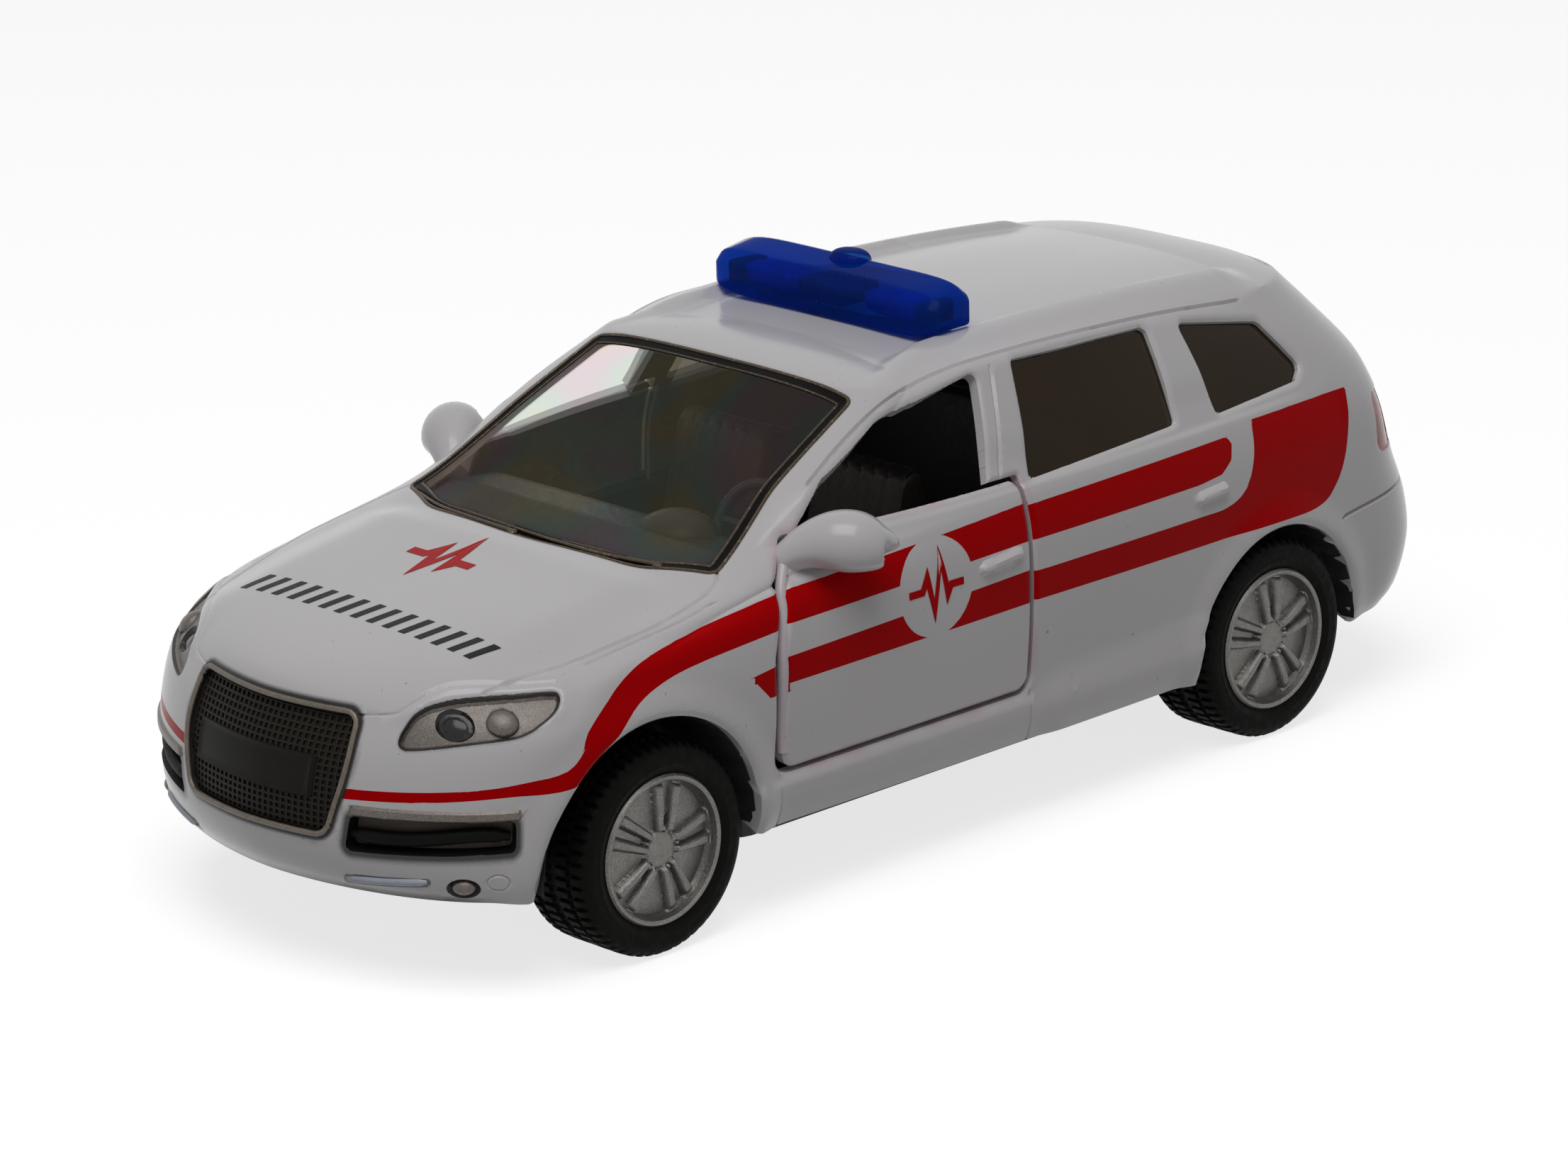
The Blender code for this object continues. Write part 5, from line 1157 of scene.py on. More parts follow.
def rim_mesh():
    """A rim with five pairs of long blades standing from a shallow dish, facing +X from x = 0."""
    turn = np.linspace(0, 2 * math.pi, RIM_COLUMNS, endpoint=False)
    place, depth = np.array(RIM_DISH).T
    rings = []
    for radius in np.unique(np.concatenate([np.linspace(RIM_CENTRE, RIM_RADIUS, RIM_ROWS), place[1:]])):
        rise = np.zeros(RIM_COLUMNS)
        for pair in range(SPOKE_PAIRS):
            angle = turn - pair * 2 * math.pi / SPOKE_PAIRS
            along, aside = radius * np.cos(angle), np.abs(radius * np.sin(angle))
            outward = np.maximum(along - SPOKE_START, 0)
            apart, half = SPOKE_APART + SPOKE_SPREAD * outward, SPOKE_HALF + SPOKE_GROWTH * outward
            blade = np.clip(SPOKE_TOP - SPOKE_TOP * ((aside - apart) / half) ** 2, 0, 1) ** SPOKE_ROUNDING
            end = np.clip((SPOKE_TIP - along) / SPOKE_TIP_SLOPE, 0, 1) ** 0.5 * ramp(along, *SPOKE_ROOT)
            lug = bulge(np.hypot(along - LUG_RADIUS, aside) / LUG_SIZE, LUG_RISE)
            rise = np.maximum(rise, np.where(along > 0, np.maximum(blade * end, lug), 0))
        rise = rise * SPOKE_RISE * falling(radius, SPOKE_EDGE)
        rings.append((np.interp(radius, place, depth) + rise, radius))
    return lathe([*rings, *RIM_BACK][::-1], RIM_COLUMNS)


TYRE_LUGS, LUG_COLUMNS, SHOULDER_SHARE, MIDDLE_SHARE = 56, 8, 0.34, 0.26
# Half of the tyre: depth from its face, radius, and how deep the shoulder's and the middle's cuts are there
TYRE_HALF = (
    (0.9, 4.55, 0, 0), (0.25, 4.72, 0, 0), (0.12, 4.95, 0, 0), (0, 5.2, 0, 0), (-0.03, 5.3, 0, 0),
    (0, 5.4, 0, 0), (-0.05, 5.75, 0, 0), (0.02, 6.05, 0, 0), (0.14, 6.28, 0, 0), (0.36, 6.5, 0.1, 0),
    (0.6, 6.62, 0.24, 0), (1.2, 6.65, 0.26, 0), (1.25, 6.38, 0, 0), (1.55, 6.38, 0, 0),
    (1.6, 6.65, 0, 0.22), (2.55, 6.65, 0, 0.22), (2.6, 6.4, 0, 0),
)


def tyre_mesh():
    """A tyre with a fine ring on its side, blocks along its shoulders and two rings of grooves."""
    share = np.arange(TYRE_LUGS * LUG_COLUMNS) / LUG_COLUMNS
    shoulder = share % 1 < SHOULDER_SHARE
    middle = (share + 0.5) % 1 < MIDDLE_SHARE
    face = [(-depth, radius - shoulder * cut - middle * groove) for depth, radius, cut, groove in TYRE_HALF]
    back = [(-TYRE_WIDTH - x, radius) for x, radius in face[::-1]]
    return lathe([*face, *back][::-1], len(share))


WHEEL_TURNS = (("front", FRONT_AXLE_Y, 6.0), ("rear", REAR_AXLE_Y, 18.0))
WHEEL_ANGLE = 32.0


def make_wheels():
    """Rims and tyres, each pair turned with its axle."""
    for kind, (points, faces), finish, slot in (
        ("rim", rim_mesh(), "wheel_silver", "silver_plastic"),
        ("tyre", tyre_mesh(), "rubber", "rubber"),
    ):
        for word, y, turn in WHEEL_TURNS:
            spin = np.array(Matrix.Rotation(math.radians(turn), 3, "X")).T
            add_pair(
                f"{kind}_relief_{word}_{{}}", (points @ spin + (WHEEL_FACE_X, y, AXLE_Z), faces), (finish,),
                f"{word}_wheels", f"{kind}_{word}_{{}}", slot=slot, angle=WHEEL_ANGLE)


# Rings of a wheel well: place across the car and share of the arch's radius
WELL_RINGS = (
    # The wells are dark, partly for the black base and partly as painted shade in the arches
    (17.0, 1.0), (16.2, 0.995), (13.5, 0.985), (10.7, 0.97), (10.45, 0.94), (10.4, 0.5), (10.4, 0.12),
)
WELL_COLUMNS, WELL_BEYOND, WELL_RIPPLES, WELL_RIPPLE = 41, 0.04, 24, 0.006


def make_wheel_wells():
    """Dark shells behind the wheel arches, partly the black of the base and partly painted shade in the
    arches.
    """
    turn = np.linspace(-WELL_BEYOND, math.pi + WELL_BEYOND, WELL_COLUMNS)
    ripple = 1 + WELL_RIPPLE * np.cos(turn * WELL_RIPPLES)
    across, up = ripple * np.cos(turn), ripple * np.sin(turn)
    for (y, z, radius), word in ((FRONT_ARCH, "front"), (REAR_ARCH, "rear")):
        rings = [
            np.stack([np.full_like(turn, x), y + radius * share * across, z + radius * share * up], axis=1)
            for x, share in WELL_RINGS]
        faces = grid_quads(len(rings), WELL_COLUMNS)[:, ::-1]
        add_pair(f"wheel_well_{word}_{{}}", (np.concatenate(rings), faces), ("black_and_well_shade",), "car")


CELL_WIDE, CELL_HIGH, CELL_COLUMNS, CELL_ROWS = 0.48, 0.4, 31, 19
CELL_FOOT, CELL_MARGIN = 0.12, 0.2
# Rings of a cell of the mesh: share of its size and height above the body
CELL_RINGS = ((1.0, -0.28), (0.66, -0.28), (0.56, -0.4), (0.2, -0.4))
CELL_ANGLE = 25.0
BACK_DEPTH, FRAME_RADIUS, FRAME_STEPS = 0.6, 0.19, 120
PANEL_LOW, PANEL_HIGH, PANEL_LEFT, PANEL_RIGHT = 11.5, 14.2, -6.2, 4.9
PANEL_COLUMNS, PANEL_ROWS, PANEL_DEPTH = 45, 21, 0.45
PANEL_RIM, PANEL_RIM_EDGE, PANEL_DISH, PANEL_DISH_EDGE = 0.25, (0.0, 0.12), 0.1, (0.2, 0.34)


def grille_cells(closed):
    """The corners of the cells inside the grille's outline and clear of its panel."""
    square = np.array([(0, 0), (1, 0), (1, 1), (0, 1)]) * (CELL_WIDE, CELL_HIGH)
    low = GRILLE[0][1] + CELL_FOOT
    cells = []
    for row in range(CELL_ROWS):
        for column in range(CELL_COLUMNS):
            corners = square + ((column - CELL_COLUMNS / 2) * CELL_WIDE, low + row * CELL_HIGH)
            middle = corners.mean(axis=0, keepdims=True)
            covered = PANEL_LEFT < middle[0, 0] < PANEL_RIGHT and PANEL_LOW < middle[0, 1] < PANEL_HIGH
            inside = inside_of(middle, closed)[0] and distance_to(middle, closed)[0] > CELL_MARGIN
            if inside and not covered:
                cells.append(corners)
    return np.array(cells)


def make_grille():
    """The grille: a dark back, a grid of shallow cells round a plain panel, and a thin rounded frame."""
    keep = grille(skin.middles()) < GRILLE_EDGE
    whole, _ = mirrored(skin.points - skin_normals * BACK_DEPTH, skin.faces[keep], skin.paint[keep])
    add_piece("grille_back", whole, ("black_and_well_shade",), "car", replaces="grille_insert", slot="black_plastic")
    line = np.array(rounded(GRILLE, 8))
    closed = np.concatenate([line, line[:1]])
    cells = grille_cells(closed)
    middle = cells.mean(axis=1, keepdims=True)
    rings = []
    for share, rise in CELL_RINGS:
        flat = middle + (cells - middle) * share
        rings.append(drape(flat[..., 0], flat[..., 1], rise).reshape(len(cells), 4, 3))
    points = np.stack(rings, axis=1).reshape(-1, 3)
    pattern = np.concatenate([grid_quads(4, 4, wrap=True), [[12, 13, 14, 15]]])
    faces = (np.arange(len(cells))[:, None, None] * 16 + pattern).reshape(-1, 4)
    add_piece(
        "grille_mesh", (points, faces), ("grille_bronze",), "car", slot="black_plastic", angle=CELL_ANGLE)
    even = spaced(closed, FRAME_STEPS)[:-1]
    edge = tube(drape(even[:, 0], even[:, 1]), FRAME_RADIUS, closed=True, steps=10)
    add_piece("grille_frame", edge, ("bronze",), "car", slot="silver_plastic")
    across, up = np.meshgrid(np.linspace(0, 1, PANEL_COLUMNS), np.linspace(0, 1, PANEL_ROWS))
    wide, high = PANEL_RIGHT - PANEL_LEFT, PANEL_HIGH - PANEL_LOW
    away = np.minimum(np.minimum(across, 1 - across) * wide, np.minimum(up, 1 - up) * high)
    rise = PANEL_RIM * ramp(away, *PANEL_RIM_EDGE) - PANEL_DISH * ramp(away, *PANEL_DISH_EDGE) - PANEL_DEPTH
    panel = drape(PANEL_LEFT + across * wide, PANEL_LOW + up * high, rise.ravel())
    add_piece(
        "grille_panel", (panel, grid_quads(PANEL_ROWS, PANEL_COLUMNS)), ("panel_black",), "car",
        slot="black_plastic")


NEAREST, NEAREST_SOFT = 6, 0.02


def wrapped(line, rise):
    """Points on the skin from distances round the corner and heights, raised from it."""
    flat, held = wrap_view(skin.points)
    places = []
    for spot in line:
        away = np.where(held, np.linalg.norm(flat - spot, axis=1), FAR)
        nearest = np.argsort(away)[:NEAREST]
        weight = 1 / (away[nearest] + NEAREST_SOFT)
        places.append(weight @ (skin.points[nearest] + skin_normals[nearest] * rise) / weight.sum())
    return np.array(places)


def fitted(line, knots, places, degree):
    """A line of points at knots, evened out by a fit and taken at other places."""
    return np.stack([np.polyval(np.polyfit(knots, axis, degree), places) for axis in line.T], axis=1)


# Bars of the bumper: name, line, height above the body, radius and finish
BUMPER_BARS = (
    ("intake_bar", INTAKE_BAR, -0.55, 0.45, "bar_black"),
    ("slot_bar", SLOT_BAR, -0.02, 0.24, "blue_white"),
)
BAR_STEPS, BAR_TAPER, BAR_TIP = 24, 4, 0.35


def make_bumper_bars():
    """A dark bar in each side intake and a pale bar in each lower slot."""
    steps = np.linspace(-1, 1, BAR_STEPS + 1)
    taper = np.clip(np.sin(np.linspace(0, math.pi, BAR_STEPS + 1)) * BAR_TAPER, BAR_TIP, 1) ** 0.5
    for name, line, rise, radius, finish in BUMPER_BARS:
        middle = fitted(wrapped(spaced(np.array(line), BAR_STEPS), rise), steps, steps, 4)
        add_pair(f"{name}_{{}}", tube(middle, radius * taper, steps=14), (finish,), "car")


LOFT_POWER = 2.6


def loft(section, middle, half, tight, steps=49, left=0.35, low=0.2):
    """A closed loft along X of a section, drawn in towards its middle at rounded ends."""
    outline = np.array(rounded(section, 5))
    rings = []
    for share in np.sin(np.linspace(-1, 1, steps) * math.pi / 2):
        size = (1 - np.abs(share) ** tight) ** (1 / LOFT_POWER) if abs(share) < 1 else 0.0
        drawn = np.array((left + (1 - left) * size, low + (1 - low) * size)) * (size > 0)
        shrunk = middle + (outline - middle) * drawn
        rings.append(np.concatenate([np.full((len(outline), 1), share * half), shrunk], axis=1))
    return np.concatenate(rings), grid_quads(steps, len(outline), wrap=True)


def drawn_from(bm):
    """The points and faces of a bmesh, which is freed. A triangle is a quad with a doubled corner."""
    bmesh.ops.triangulate(bm, faces=bm.faces[:])
    bm.verts.index_update()
    points = np.array([vert.co for vert in bm.verts])
    faces = np.array([[vert.index for vert in (*face.verts, face.verts[2])] for face in bm.faces])
    bm.free()
    return points, faces


def block(x, half, low, high, edge):
    """A box with cut edges round a place across the car, between two lengthwise places and heights."""
    low, high = np.array((x - half, *low)), np.array((x + half, *high))
    bm = bmesh.new()
    bmesh.ops.create_cube(bm, size=1.0)
    bmesh.ops.scale(bm, vec=Vector(high - low), verts=bm.verts)
    bmesh.ops.translate(bm, vec=Vector((low + high) / 2), verts=bm.verts)
    bmesh.ops.bevel(bm, geom=bm.edges[:], offset=edge, segments=2, profile=0.5, affect="EDGES")
    return drawn_from(bm)


def blob(centre, radii, power=2.4, columns=32, rows=18):
    """A rounded solid between a ball and a box."""
    def bent(value):
        return np.sign(value) * np.abs(value) ** (2 / power)
    turn = np.linspace(0, 2 * math.pi, columns, endpoint=False)
    rings = []
    for angle in np.linspace(-math.pi / 2, math.pi / 2, rows):
        flat, height = bent(math.cos(angle)), np.full(columns, bent(math.sin(angle)))
        ring = np.stack([flat * bent(np.cos(turn)), flat * bent(np.sin(turn)), height], axis=1)
        rings.append(np.array(centre) + ring * np.array(radii))
    return np.concatenate(rings), grid_quads(rows, columns, wrap=True)


BAR_HALF, BAR_TIGHT, BAR_MIDDLE, BAR_ANGLE = 10.2, 8.0, (4.1, 31.8), 30.0
BAR_SECTION = (
    (1.95, 30.4, 0.3), (1.95, 32.45, 0.5), (2.7, 33.3, 0.7), (5.2, 33.75, 0.8), (6.25, 33.0, 0.8),
    (6.25, 30.4, 0.3),
)
CAP_ROWS, CAP_COLUMNS, CAP_RADIUS, CAP_RISE = 9, 28, 1.5, 0.7
CAP_Y, CAP_Z, CAP_SQUEEZE, CAP_POWER = 5.0, 33.5, 0.8, 0.6
# Boxes: half the width, then lengthwise place and height of one corner and of the other, and the cut edge
RIB_BOX, RIB_REACH, RIBS = (0.14, (2.1, 31.2), (5.6, 32.6), 0.06), 1.7, 7
CORE_BOX = (1.9, (2.5, 31.2), (5.4, 32.4), 0.2)
# Dark boxes in the ends of the bar: painted shade in its hollow ends
END_SHADE_BOX, END_SHADE_X = (0.5, (2.6, 31.0), (5.4, 32.5), 0.25), 8.4
LAMP_PLACE, LAMP_SIZE, LAMP_POWER, LAMP_X = (4.2, 31.7), (2.9, 1.3, 0.85), 3.0, 5.4


def make_light_bar():
    """The light bar: a clear blue shell with a low cap, over middle ribs, two lamps and two dark end boxes
    that are painted shade in its hollow ends.
    """
    turn = np.linspace(0, 2 * math.pi, CAP_COLUMNS, endpoint=False)
    rings = []
    for angle in np.linspace(0, 1, CAP_ROWS) * math.pi / 2:
        radius = CAP_RADIUS * math.cos(angle) ** CAP_POWER
        height = np.full(CAP_COLUMNS, CAP_Z + CAP_RISE * math.sin(angle))
        y = CAP_Y + CAP_SQUEEZE * radius * np.sin(turn)
        rings.append(np.stack([radius * np.cos(turn), y, height], axis=1))
    cap = np.concatenate(rings), grid_quads(CAP_ROWS, CAP_COLUMNS, wrap=True)
    ribs = [block(x, *RIB_BOX) for x in np.linspace(-RIB_REACH, RIB_REACH, RIBS)]
    lamps = [blob((x, *LAMP_PLACE), LAMP_SIZE, LAMP_POWER) for x in (-LAMP_X, LAMP_X)]
    ends = [block(x, *END_SHADE_BOX) for x in (-END_SHADE_X, END_SHADE_X)]
    shell = joined(loft(BAR_SECTION, BAR_MIDDLE, BAR_HALF, BAR_TIGHT), cap)
    add_piece(
        "light_bar_shell", shell, ("clear_blue",), "car", replaces="light_bar", slot="blue_plastic",
        angle=BAR_ANGLE)
    core = joined(*ribs, block(0.0, *CORE_BOX))
    for name, shape, finish in (
        ("light_bar_core", core, "core_blue"),
        ("light_bar_lamps", joined(*lamps), "lamp_blue"),
        ("light_bar_end_shade", joined(*ends), "end_shade_blue"),
    ):
        add_piece(name, shape, (finish,), "car", slot="blue_plastic")


# The mirror's middle line and its radius, from its root outward
MIRROR = (
    (14.7, -16.2, 21.0, 0.95), (15.3, -15.6, 21.5, 1.25), (16.0, -15.0, 22.0, 1.55),
    (16.8, -14.2, 22.3, 1.95), (17.6, -13.5, 22.4, 2.15), (18.3, -12.9, 22.3, 2.1),
    (18.95, -12.3, 22.2, 1.9), (19.4, -11.9, 22.15, 1.5), (19.65, -11.7, 22.1, 0.8),
)
MIRROR_STEPS, MIRROR_THIN, MIRROR_FOOT, MIRROR_ROOT_X = 49, 0.05, 0.72, 16.4
MIRROR_BACK_X, MIRROR_BACK_Y, MIRROR_LEAN = 18.0, -11.75, 0.3
MIRROR_GLASS = ((17.9, 0.0, 22.35), (1.15, 0.1, 1.1))


def mirror_back(points):
    """How far back the leaning rear face of a mirror lies."""
    return MIRROR_BACK_Y + MIRROR_LEAN * (points[:, 0] - MIRROR_BACK_X)


def make_mirrors():
    """Door mirrors: a teardrop that grows from the door's corner and leans back, with a bright glass."""
    line = fitted(np.array(MIRROR), np.linspace(0, 1, len(MIRROR)), np.linspace(0, 1, MIRROR_STEPS), 6)
    points, faces = tube(line[:, :3], np.maximum(line[:, 3], MIRROR_THIN), steps=32)
    x, y, z = points.T
    level = np.interp(x, line[:, 0], line[:, 2])
    y = np.where(x > MIRROR_ROOT_X, np.minimum(y, mirror_back(points)), y)
    z = np.where(z < level, level + (z - level) * MIRROR_FOOT, z)
    pane, pane_faces = blob(*MIRROR_GLASS)
    pane[:, 1] += mirror_back(pane)
    points = np.stack([x, y, z], axis=1)
    add_pair("mirror_{}", (points, faces), ("white_paint",), "{}_door", slot="white_paint")
    add_pair("mirror_glass_{}", (pane, pane_faces), ("wheel_silver",), "{}_door", slot="silver_plastic")


DOOR_LIP = (
    (-18.4, 10.4), (-18.45, 13.0), (-18.4, 16.4), (-18.0, 18.4), (-17.45, 20.1), (-16.6, 21.2),
    (-15.9, 21.9),
)
LIP_RADIUS, LIP_STEPS = 0.4, 36


def make_door_lips():
    """The rounded front edge of each door, up to the root of its mirror."""
    flat = spaced(np.array(smooth(DOOR_LIP)), LIP_STEPS)
    line = press(flat[:, 0], flat[:, 1], -LIP_RADIUS)
    steps = np.linspace(-1, 1, len(line))
    line[:, :1] = fitted(line[:, :1], steps, steps, 4)
    add_pair("door_lip_{}", tube(line, LIP_RADIUS, steps=14), ("lip_paint",), "{}_door", slot="white_paint")


WIPERS = (
    ((-12.6, -21.25), (-8.8, -22.5), (-4.5, -23.05), (-1.2, -23.25)),
    ((-1.8, -22.8), (2.5, -22.95), (6.5, -22.75), (10.4, -22.0)),
)
WIPER_STEPS, WIPER_RISE, WIPER_RADII = 30, 0.1, (0.1, 0.15)
BLADE_STEPS, BLADE_AHEAD, BLADE_RADIUS = 24, 0.28, 0.09
PIVOT_RISE, PIVOT_SIZE = 0.05, (0.32, 0.32, 0.2)


def make_wipers():
    """Two wiper arms along the foot of the windscreen, each with a thin blade and a pivot."""
    arms, blades = [], []
    for line in WIPERS:
        x, y = spaced(np.array(smooth(line)), WIPER_STEPS - 1).T
        arms.append(tube(drop(x, y, WIPER_RISE), np.linspace(*WIPER_RADII, WIPER_STEPS), steps=10))
        arms.append(blob(drop(x[-1], y[-1], PIVOT_RISE)[0], PIVOT_SIZE, 2.0, 18, 10))
        blades.append(tube(drop(x[:BLADE_STEPS], y[:BLADE_STEPS] + BLADE_AHEAD), BLADE_RADIUS))
    add_piece("wiper_arms", joined(*arms), ("bronze_trim_and_highlight",), "car", slot="black_plastic")
    add_piece("wiper_blades", joined(*blades), ("rubber",), "car", slot="black_plastic")


DASH_PAD = (
    (-21.6, 19.5, 0.5), (-21.4, 21.2, 0.7), (-18.6, 21.95, 1.4), (-14.6, 21.3, 1.0), (-13.3, 19.4, 0.6),
    (-13.6, 18.6, 0.3), (-17.5, 18.9, 0.4),
)
DASH_MIDDLE, DASH_HALF, DASH_TIGHT = (-17.5, 20.2), 12.3, 30.0
SEAT_X, SEAT_HALF, SEAT_TIGHT = 6.2, 3.95, 10.0
SEAT_BACK = (
    (-3.0, 13.4, 0.4), (-0.7, 22.2, 0.7), (0.9, 22.75, 0.7), (1.75, 20.4, 0.8), (-0.6, 12.6, 0.5),
)
SEAT_CUSHION = (
    (-8.5, 11.2, 0.5), (-8.55, 13.3, 0.9), (-5.8, 13.75, 0.9), (-2.4, 13.85, 0.6), (-2.2, 12.0, 0.4),
)
SEAT_SECTIONS = ((SEAT_BACK, (-0.5, 17.8)), (SEAT_CUSHION, (-5.4, 12.6)))
QUILT_DEPTH, QUILT_PACE, QUILT_POWER, QUILT_HALF = 0.06, 2.6, 8, 2.6
HOOD = ((SEAT_X, -16.3, 20.9), (2.7, 2.3, 1.9))
CONSOLE = ((0.0, -14.6, 16.6), (1.7, 1.5, 4.2), 4.0)
VENT_BOX, VENTS = (1.1, (-13.45, 19.6), (-13.15, 20.5), 0.1), (-10.5, -2.6, 2.6, 10.5)
WHEEL_CENTRE, WHEEL_TILT, WHEEL_RADIUS = (SEAT_X, -10.0, 20.2), 62.0, 2.85
WHEEL_STEPS, WHEEL_GRIP, WHEEL_HUB = 40, 0.36, ((0, 0, -0.1), (0.95, 0.8, 0.35), 2.6)
# A spoke of the steering wheel: distance out, height and radius. Its column: height and radius.
WHEEL_SPOKE = ((0.6, -0.15, 0.3), (1.8, -0.1, 0.24), (2.7, 0.0, 0.28))
WHEEL_COLUMN = ((-0.2, 0.6), (-2.0, 0.5), (-4.4, 0.5))


def make_dashboard():
    """A padded dashboard with an instrument hood, a console and vents."""
    pad = loft(DASH_PAD, DASH_MIDDLE, DASH_HALF, DASH_TIGHT, left=0.8, low=0.7)
    shape = joined(pad, blob(*HOOD), blob(*CONSOLE), *(block(x, *VENT_BOX) for x in VENTS))
    add_piece("dashboard_pad", shape, ("cabin_blue",), "car", slot="black_plastic")


def make_seats():
    """Quilted covers of the two front seats."""
    parts = []
    for x in (SEAT_X, -SEAT_X):
        for section, middle in SEAT_SECTIONS:
            points, faces = loft(section, middle, SEAT_HALF, SEAT_TIGHT, steps=61, left=0.7, low=0.85)
            quilt = QUILT_DEPTH * np.cos(points[:, :1] * QUILT_PACE) ** QUILT_POWER
            points[:, 1:] -= (points[:, 1:] - middle) * quilt * (np.abs(points[:, :1]) < QUILT_HALF)
            parts.append((points + (x, 0, 0), faces))
    add_piece("seat_covers", joined(*parts), ("cabin_brown",), "car", slot="black_plastic")


def make_steering_wheel():
    """A steering wheel with three spokes, a hub and its column."""
    turn = np.linspace(0, 2 * math.pi, WHEEL_STEPS, endpoint=False)
    ring = WHEEL_RADIUS * np.stack([np.cos(turn), np.sin(turn), np.zeros(WHEEL_STEPS)], axis=1)
    parts = [tube(ring, WHEEL_GRIP, closed=True, steps=10), blob(*WHEEL_HUB)]
    for angle in (0.0, math.pi, 1.5 * math.pi):
        line = [(out * math.cos(angle), out * math.sin(angle), z) for out, z, _ in WHEEL_SPOKE]
        parts.append(tube(line, [radius for _, _, radius in WHEEL_SPOKE]))
    column = [(0, 0, z) for z, _ in WHEEL_COLUMN]
    parts.append(tube(column, [radius for _, radius in WHEEL_COLUMN], steps=12))
    points, faces = joined(*parts)
    lean = np.array(Matrix.Rotation(math.radians(WHEEL_TILT), 3, "X"))
    add_piece(
        "steering_ring", (points @ lean.T + WHEEL_CENTRE, faces), ("cabin_blue",), "car",
        replaces="steering_wheel", slot="black_plastic")


BASE_FRONT_Y, BASE_ANGLE = -39.3, 30.0


def make_base():
    """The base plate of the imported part, ending short of the bumper."""
    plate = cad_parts["chassis_base"]
    bm = bmesh.new()
    bm.from_mesh(plate.data)
    bmesh.ops.transform(bm, matrix=plate.matrix_world, verts=bm.verts)
    whole = bm.verts[:] + bm.edges[:] + bm.faces[:]
    place = (0, BASE_FRONT_Y * MM, 0)
    cut = bmesh.ops.bisect_plane(bm, geom=whole, plane_co=place, plane_no=(0, -1, 0), clear_outer=True)
    edges = [part for part in cut["geom_cut"] if isinstance(part, bmesh.types.BMEdge)]
    bmesh.ops.holes_fill(bm, edges=edges, sides=0)
    points, faces = drawn_from(bm)
    add_piece(
        "base_plate", (points / MM, faces), ("base_grey",), "car", replaces="chassis_base",
        slot="dark_base", angle=BASE_ANGLE)


PLAIN_NODES = {
    "cabin_blue": ("interior_tub",),
    "steel": ("hinge_pin_left", "hinge_pin_right", "rivet_front", "rivet_rear", "axle_front", "axle_rear"),
}


def paint_nodes():
    """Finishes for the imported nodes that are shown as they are."""
    for finish, words in PLAIN_NODES.items():
        for word in words:
            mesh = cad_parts[word].data
            mesh.materials.clear()
            mesh.materials.append(look[finish])


PRINT_RISE, PULSE_STEPS, MITRE_LIMIT = 0.03, 85, 0.3
BONNET_PULSE_PLACE, BONNET_PULSE_SCALE, BONNET_PULSE_HALF = (-1.9, -28.4), 1.2, 1.56 * PULSE_HALF
DASHES, DASH_Y, DASH_LEFT, DASH_RIGHT = 15, -36.1, -10.2, 10.3
DASH_WIDE, DASH_LONG, DASH_SLANT, DASH_COLUMNS, DASH_ROWS = 0.62, 2.0, 0.55, 4, 6


def ribbon(line, half):
    """The two edges of a flat band along a line, with mitred corners."""
    ahead = np.diff(line, axis=0)
    ahead /= np.linalg.norm(ahead, axis=1)[:, None]
    before, after = np.concatenate([ahead[:1], ahead]), np.concatenate([ahead, ahead[-1:]])
    mitre = before + after
    mitre /= np.linalg.norm(mitre, axis=1)[:, None]
    reach = half / np.maximum((mitre * before).sum(axis=1), MITRE_LIMIT)
    aside = np.stack([-mitre[:, 1], mitre[:, 0]], axis=1) * reach[:, None]
    return line + aside, line - aside


def pulse_band(line, half):
    """A flat pulse line, finely divided along it, as two rows of coordinates and quads."""
    knots = np.arange(len(line))
    share = np.linspace(0, knots[-1], PULSE_STEPS)
    edges = [[np.interp(share, knots, axis) for axis in edge.T] for edge in ribbon(line, half)]
    return np.concatenate(edges, axis=1), grid_quads(2, PULSE_STEPS)[:, ::-1]


def make_print():
    """Print on the doors and bonnet: red pulse lines and a row of slanted black dashes."""
    flat, faces = pulse_band(np.array(PULSE) + DISC_CENTRE, PULSE_HALF)
    points = press(*flat, PRINT_RISE)
    add_pair("door_pulse_{}", (points, faces), ("red_print",), "{}_door", slot="white_paint")
    flat, faces = pulse_band(np.array(PULSE) * BONNET_PULSE_SCALE + BONNET_PULSE_PLACE, BONNET_PULSE_HALF)
    add_piece("bonnet_pulse", (drop(*flat, PRINT_RISE), faces), ("red_print",), "car", slot="white_paint")
    across, up = np.meshgrid(np.linspace(-0.5, 0.5, DASH_COLUMNS), np.linspace(-0.5, 0.5, DASH_ROWS))
    parts = []
    for x in np.linspace(DASH_LEFT, DASH_RIGHT, DASHES):
        spots = drop(x + across * DASH_WIDE + up * DASH_SLANT, DASH_Y + up * DASH_LONG, PRINT_RISE)
        parts.append((spots, grid_quads(DASH_ROWS, DASH_COLUMNS)))
    add_piece("bonnet_dashes", joined(*parts), ("print_black",), "car", slot="white_paint")


# Camera, matched to the photograph
CAMERA_AZIMUTH, CAMERA_ELEVATION, CAMERA_ROLL = 46.05, 17.37, -1.26
CAMERA_DISTANCE, CAMERA_LENS = 398.49, 143.35
CAMERA_TARGET = Vector((0, -0.9, 14.0))
CAMERA_SHIFT = (-0.0041, -0.0096)


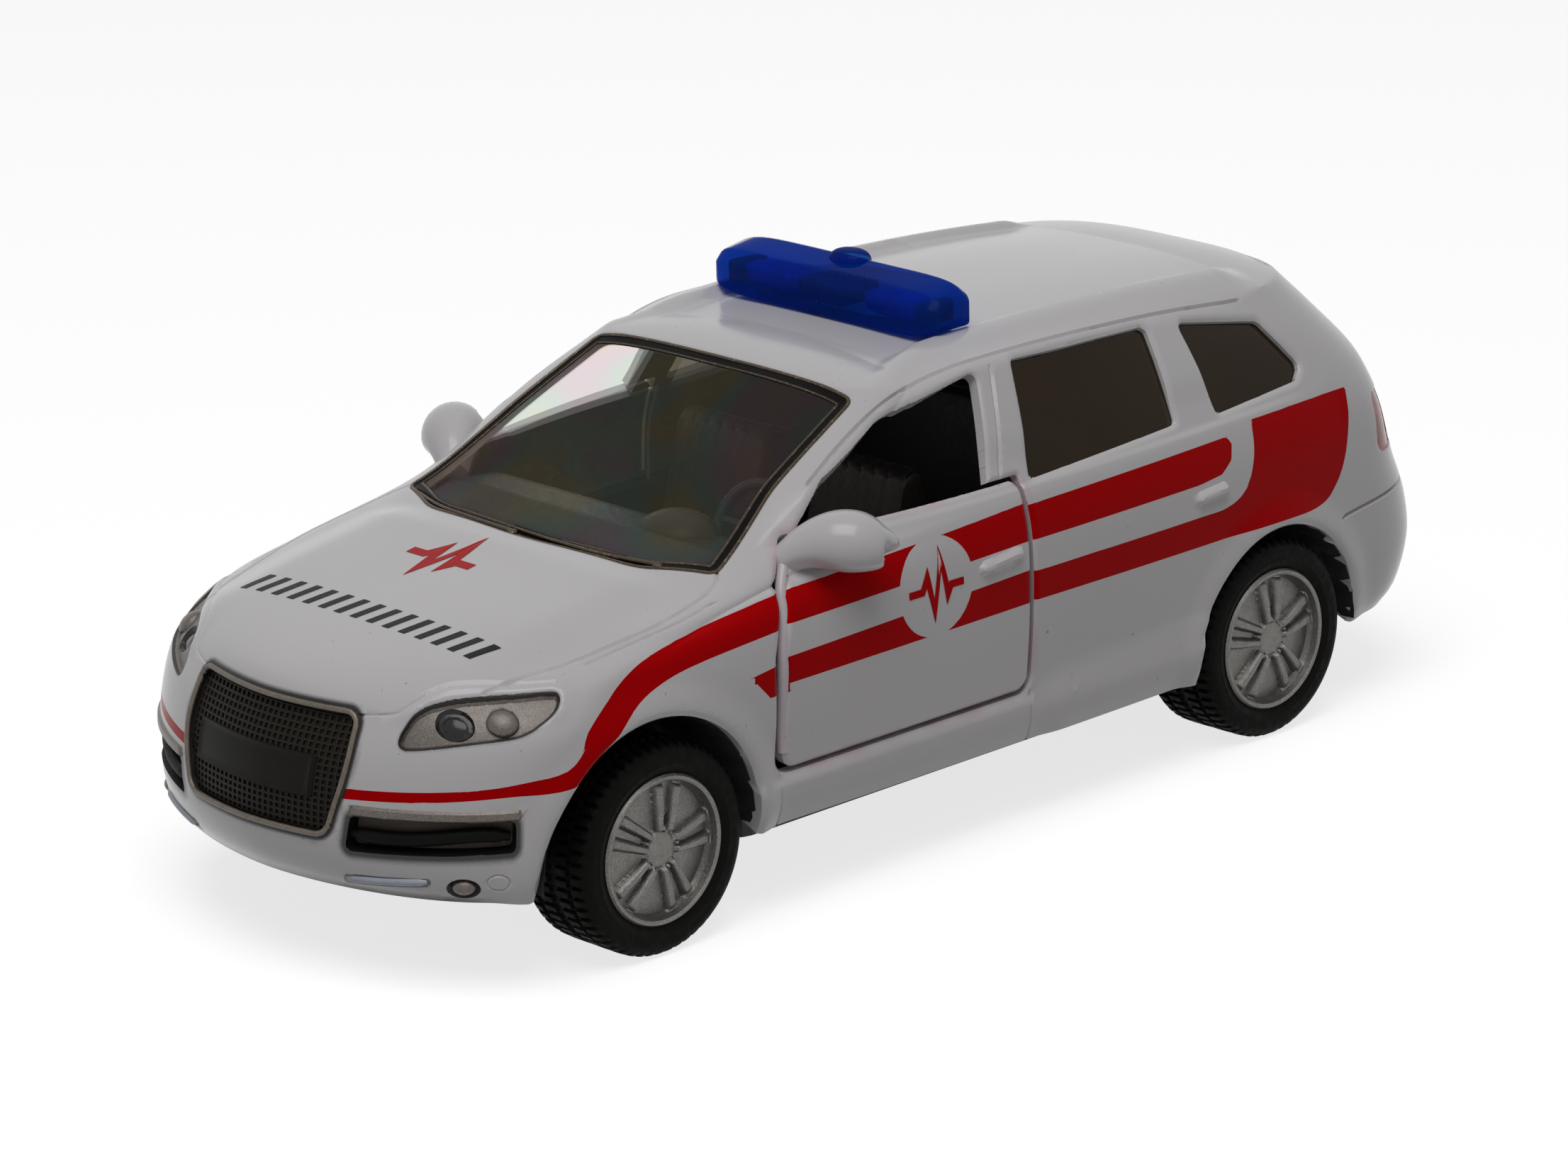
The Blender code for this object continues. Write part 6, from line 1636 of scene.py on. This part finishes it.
def make_camera():
    """The camera, set round its target by two angles and rolled."""
    azimuth, elevation = math.radians(CAMERA_AZIMUTH), math.radians(CAMERA_ELEVATION)
    flat = math.cos(elevation)
    back = Vector((math.sin(azimuth) * flat, -math.cos(azimuth) * flat, math.sin(elevation)))
    right = Vector((0, 0, 1)).cross(back).normalized()
    turn = Matrix((right, back.cross(right), back)).transposed().to_4x4()
    data = bpy.data.cameras.new("camera")
    data.lens = CAMERA_LENS
    data.shift_x, data.shift_y = CAMERA_SHIFT
    data.clip_start = 0.01
    camera = bpy.data.objects.new("camera", data)
    roll = Matrix.Rotation(math.radians(CAMERA_ROLL), 4, "Z")
    camera.matrix_world = Matrix.Translation((CAMERA_TARGET + back * CAMERA_DISTANCE) * MM) @ turn @ roll
    bpy.context.scene.collection.objects.link(camera)
    bpy.context.scene.camera = camera


# The light and the floor, in metres
LAMP_FROM, LAMP_AT, LAMP_SIDE, LAMP_WATTS = (0.14, -0.20, 0.60), (0, 0, 0.01), 0.4, 1.9
FLOOR_REACH, FLOOR_GREY, FLOOR_GLOW = 2.0, 0.5, 0.76
SKY_LIGHT, SKY_SEEN = 0.13, 1.0


def make_lamp():
    """One large soft lamp above the front of the car."""
    data = bpy.data.lights.new("key", "AREA")
    data.shape = "RECTANGLE"
    data.size = data.size_y = LAMP_SIDE
    data.energy = LAMP_WATTS
    lamp = bpy.data.objects.new("key", data)
    direction = Vector(LAMP_FROM) - Vector(LAMP_AT)
    turn = direction.to_track_quat("Z", "Y").to_matrix().to_4x4()
    lamp.matrix_world = Matrix.Translation(LAMP_FROM) @ turn
    bpy.context.scene.collection.objects.link(lamp)


def direct_rays(tree):
    """1 for what is seen straight, in reflections or through glass, 0 for light that falls on things."""
    rays = node(tree, "LightPath").outputs
    seen = rays["Is Camera Ray"]
    for kind in ("Is Glossy Ray", "Is Transmission Ray"):
        seen = node(tree, "Math", operation="MAXIMUM", i0=seen, i1=rays[kind]).outputs["Value"]
    return seen


def make_floor():
    """A pale floor that shows as white and keeps a soft shadow."""
    mesh = bpy.data.meshes.new("floor")
    corners = [(x * FLOOR_REACH, y * FLOOR_REACH, 0) for x, y in ((-1, -1), (1, -1), (1, 1), (-1, 1))]
    mesh.from_pydata(corners, [], [(0, 1, 2, 3)])
    floor = bpy.data.objects.new("floor", mesh)
    bpy.context.scene.collection.objects.link(floor)
    material = bpy.data.materials.new("floor")
    material.use_nodes = True
    tree = material.node_tree
    tree.nodes.remove(tree.nodes["Principled BSDF"])
    matt = node(tree, "BsdfDiffuse", Color=(FLOOR_GREY, FLOOR_GREY, FLOOR_GREY, 1)).outputs["BSDF"]
    glow = node(tree, "Emission", Color=(1, 1, 1, 1), Strength=FLOOR_GLOW).outputs["Emission"]
    seen = node(tree, "AddShader", i0=matt, i1=glow).outputs["Shader"]
    both = node(tree, "MixShader", i0=direct_rays(tree), i1=matt, i2=seen).outputs["Shader"]
    tree.links.new(both, tree.nodes["Material Output"].inputs["Surface"])
    mesh.materials.append(material)


def make_sky():
    """White where it is seen, and a plain soft light on things."""
    world = bpy.data.worlds.new("world")
    bpy.context.scene.world = world
    world.use_nodes = True
    tree = world.node_tree
    back = tree.nodes["Background"]
    back.inputs["Color"].default_value = (1, 1, 1, 1)
    strength = node(tree, "MapRange", Value=direct_rays(tree), To_Min=SKY_LIGHT, To_Max=SKY_SEEN)
    tree.links.new(strength.outputs["Result"], back.inputs["Strength"])


for make in (
    make_body, make_glass, make_wheels, make_wheel_wells, make_grille, make_light_bar, make_mirrors,
    make_door_lips, make_bumper_bars, make_wipers, make_dashboard, make_seats, make_steering_wheel,
    make_print, make_base, paint_nodes, make_camera, make_floor, make_sky, make_lamp,
):
    make()
bpy.context.scene.view_settings.view_transform = "Standard"
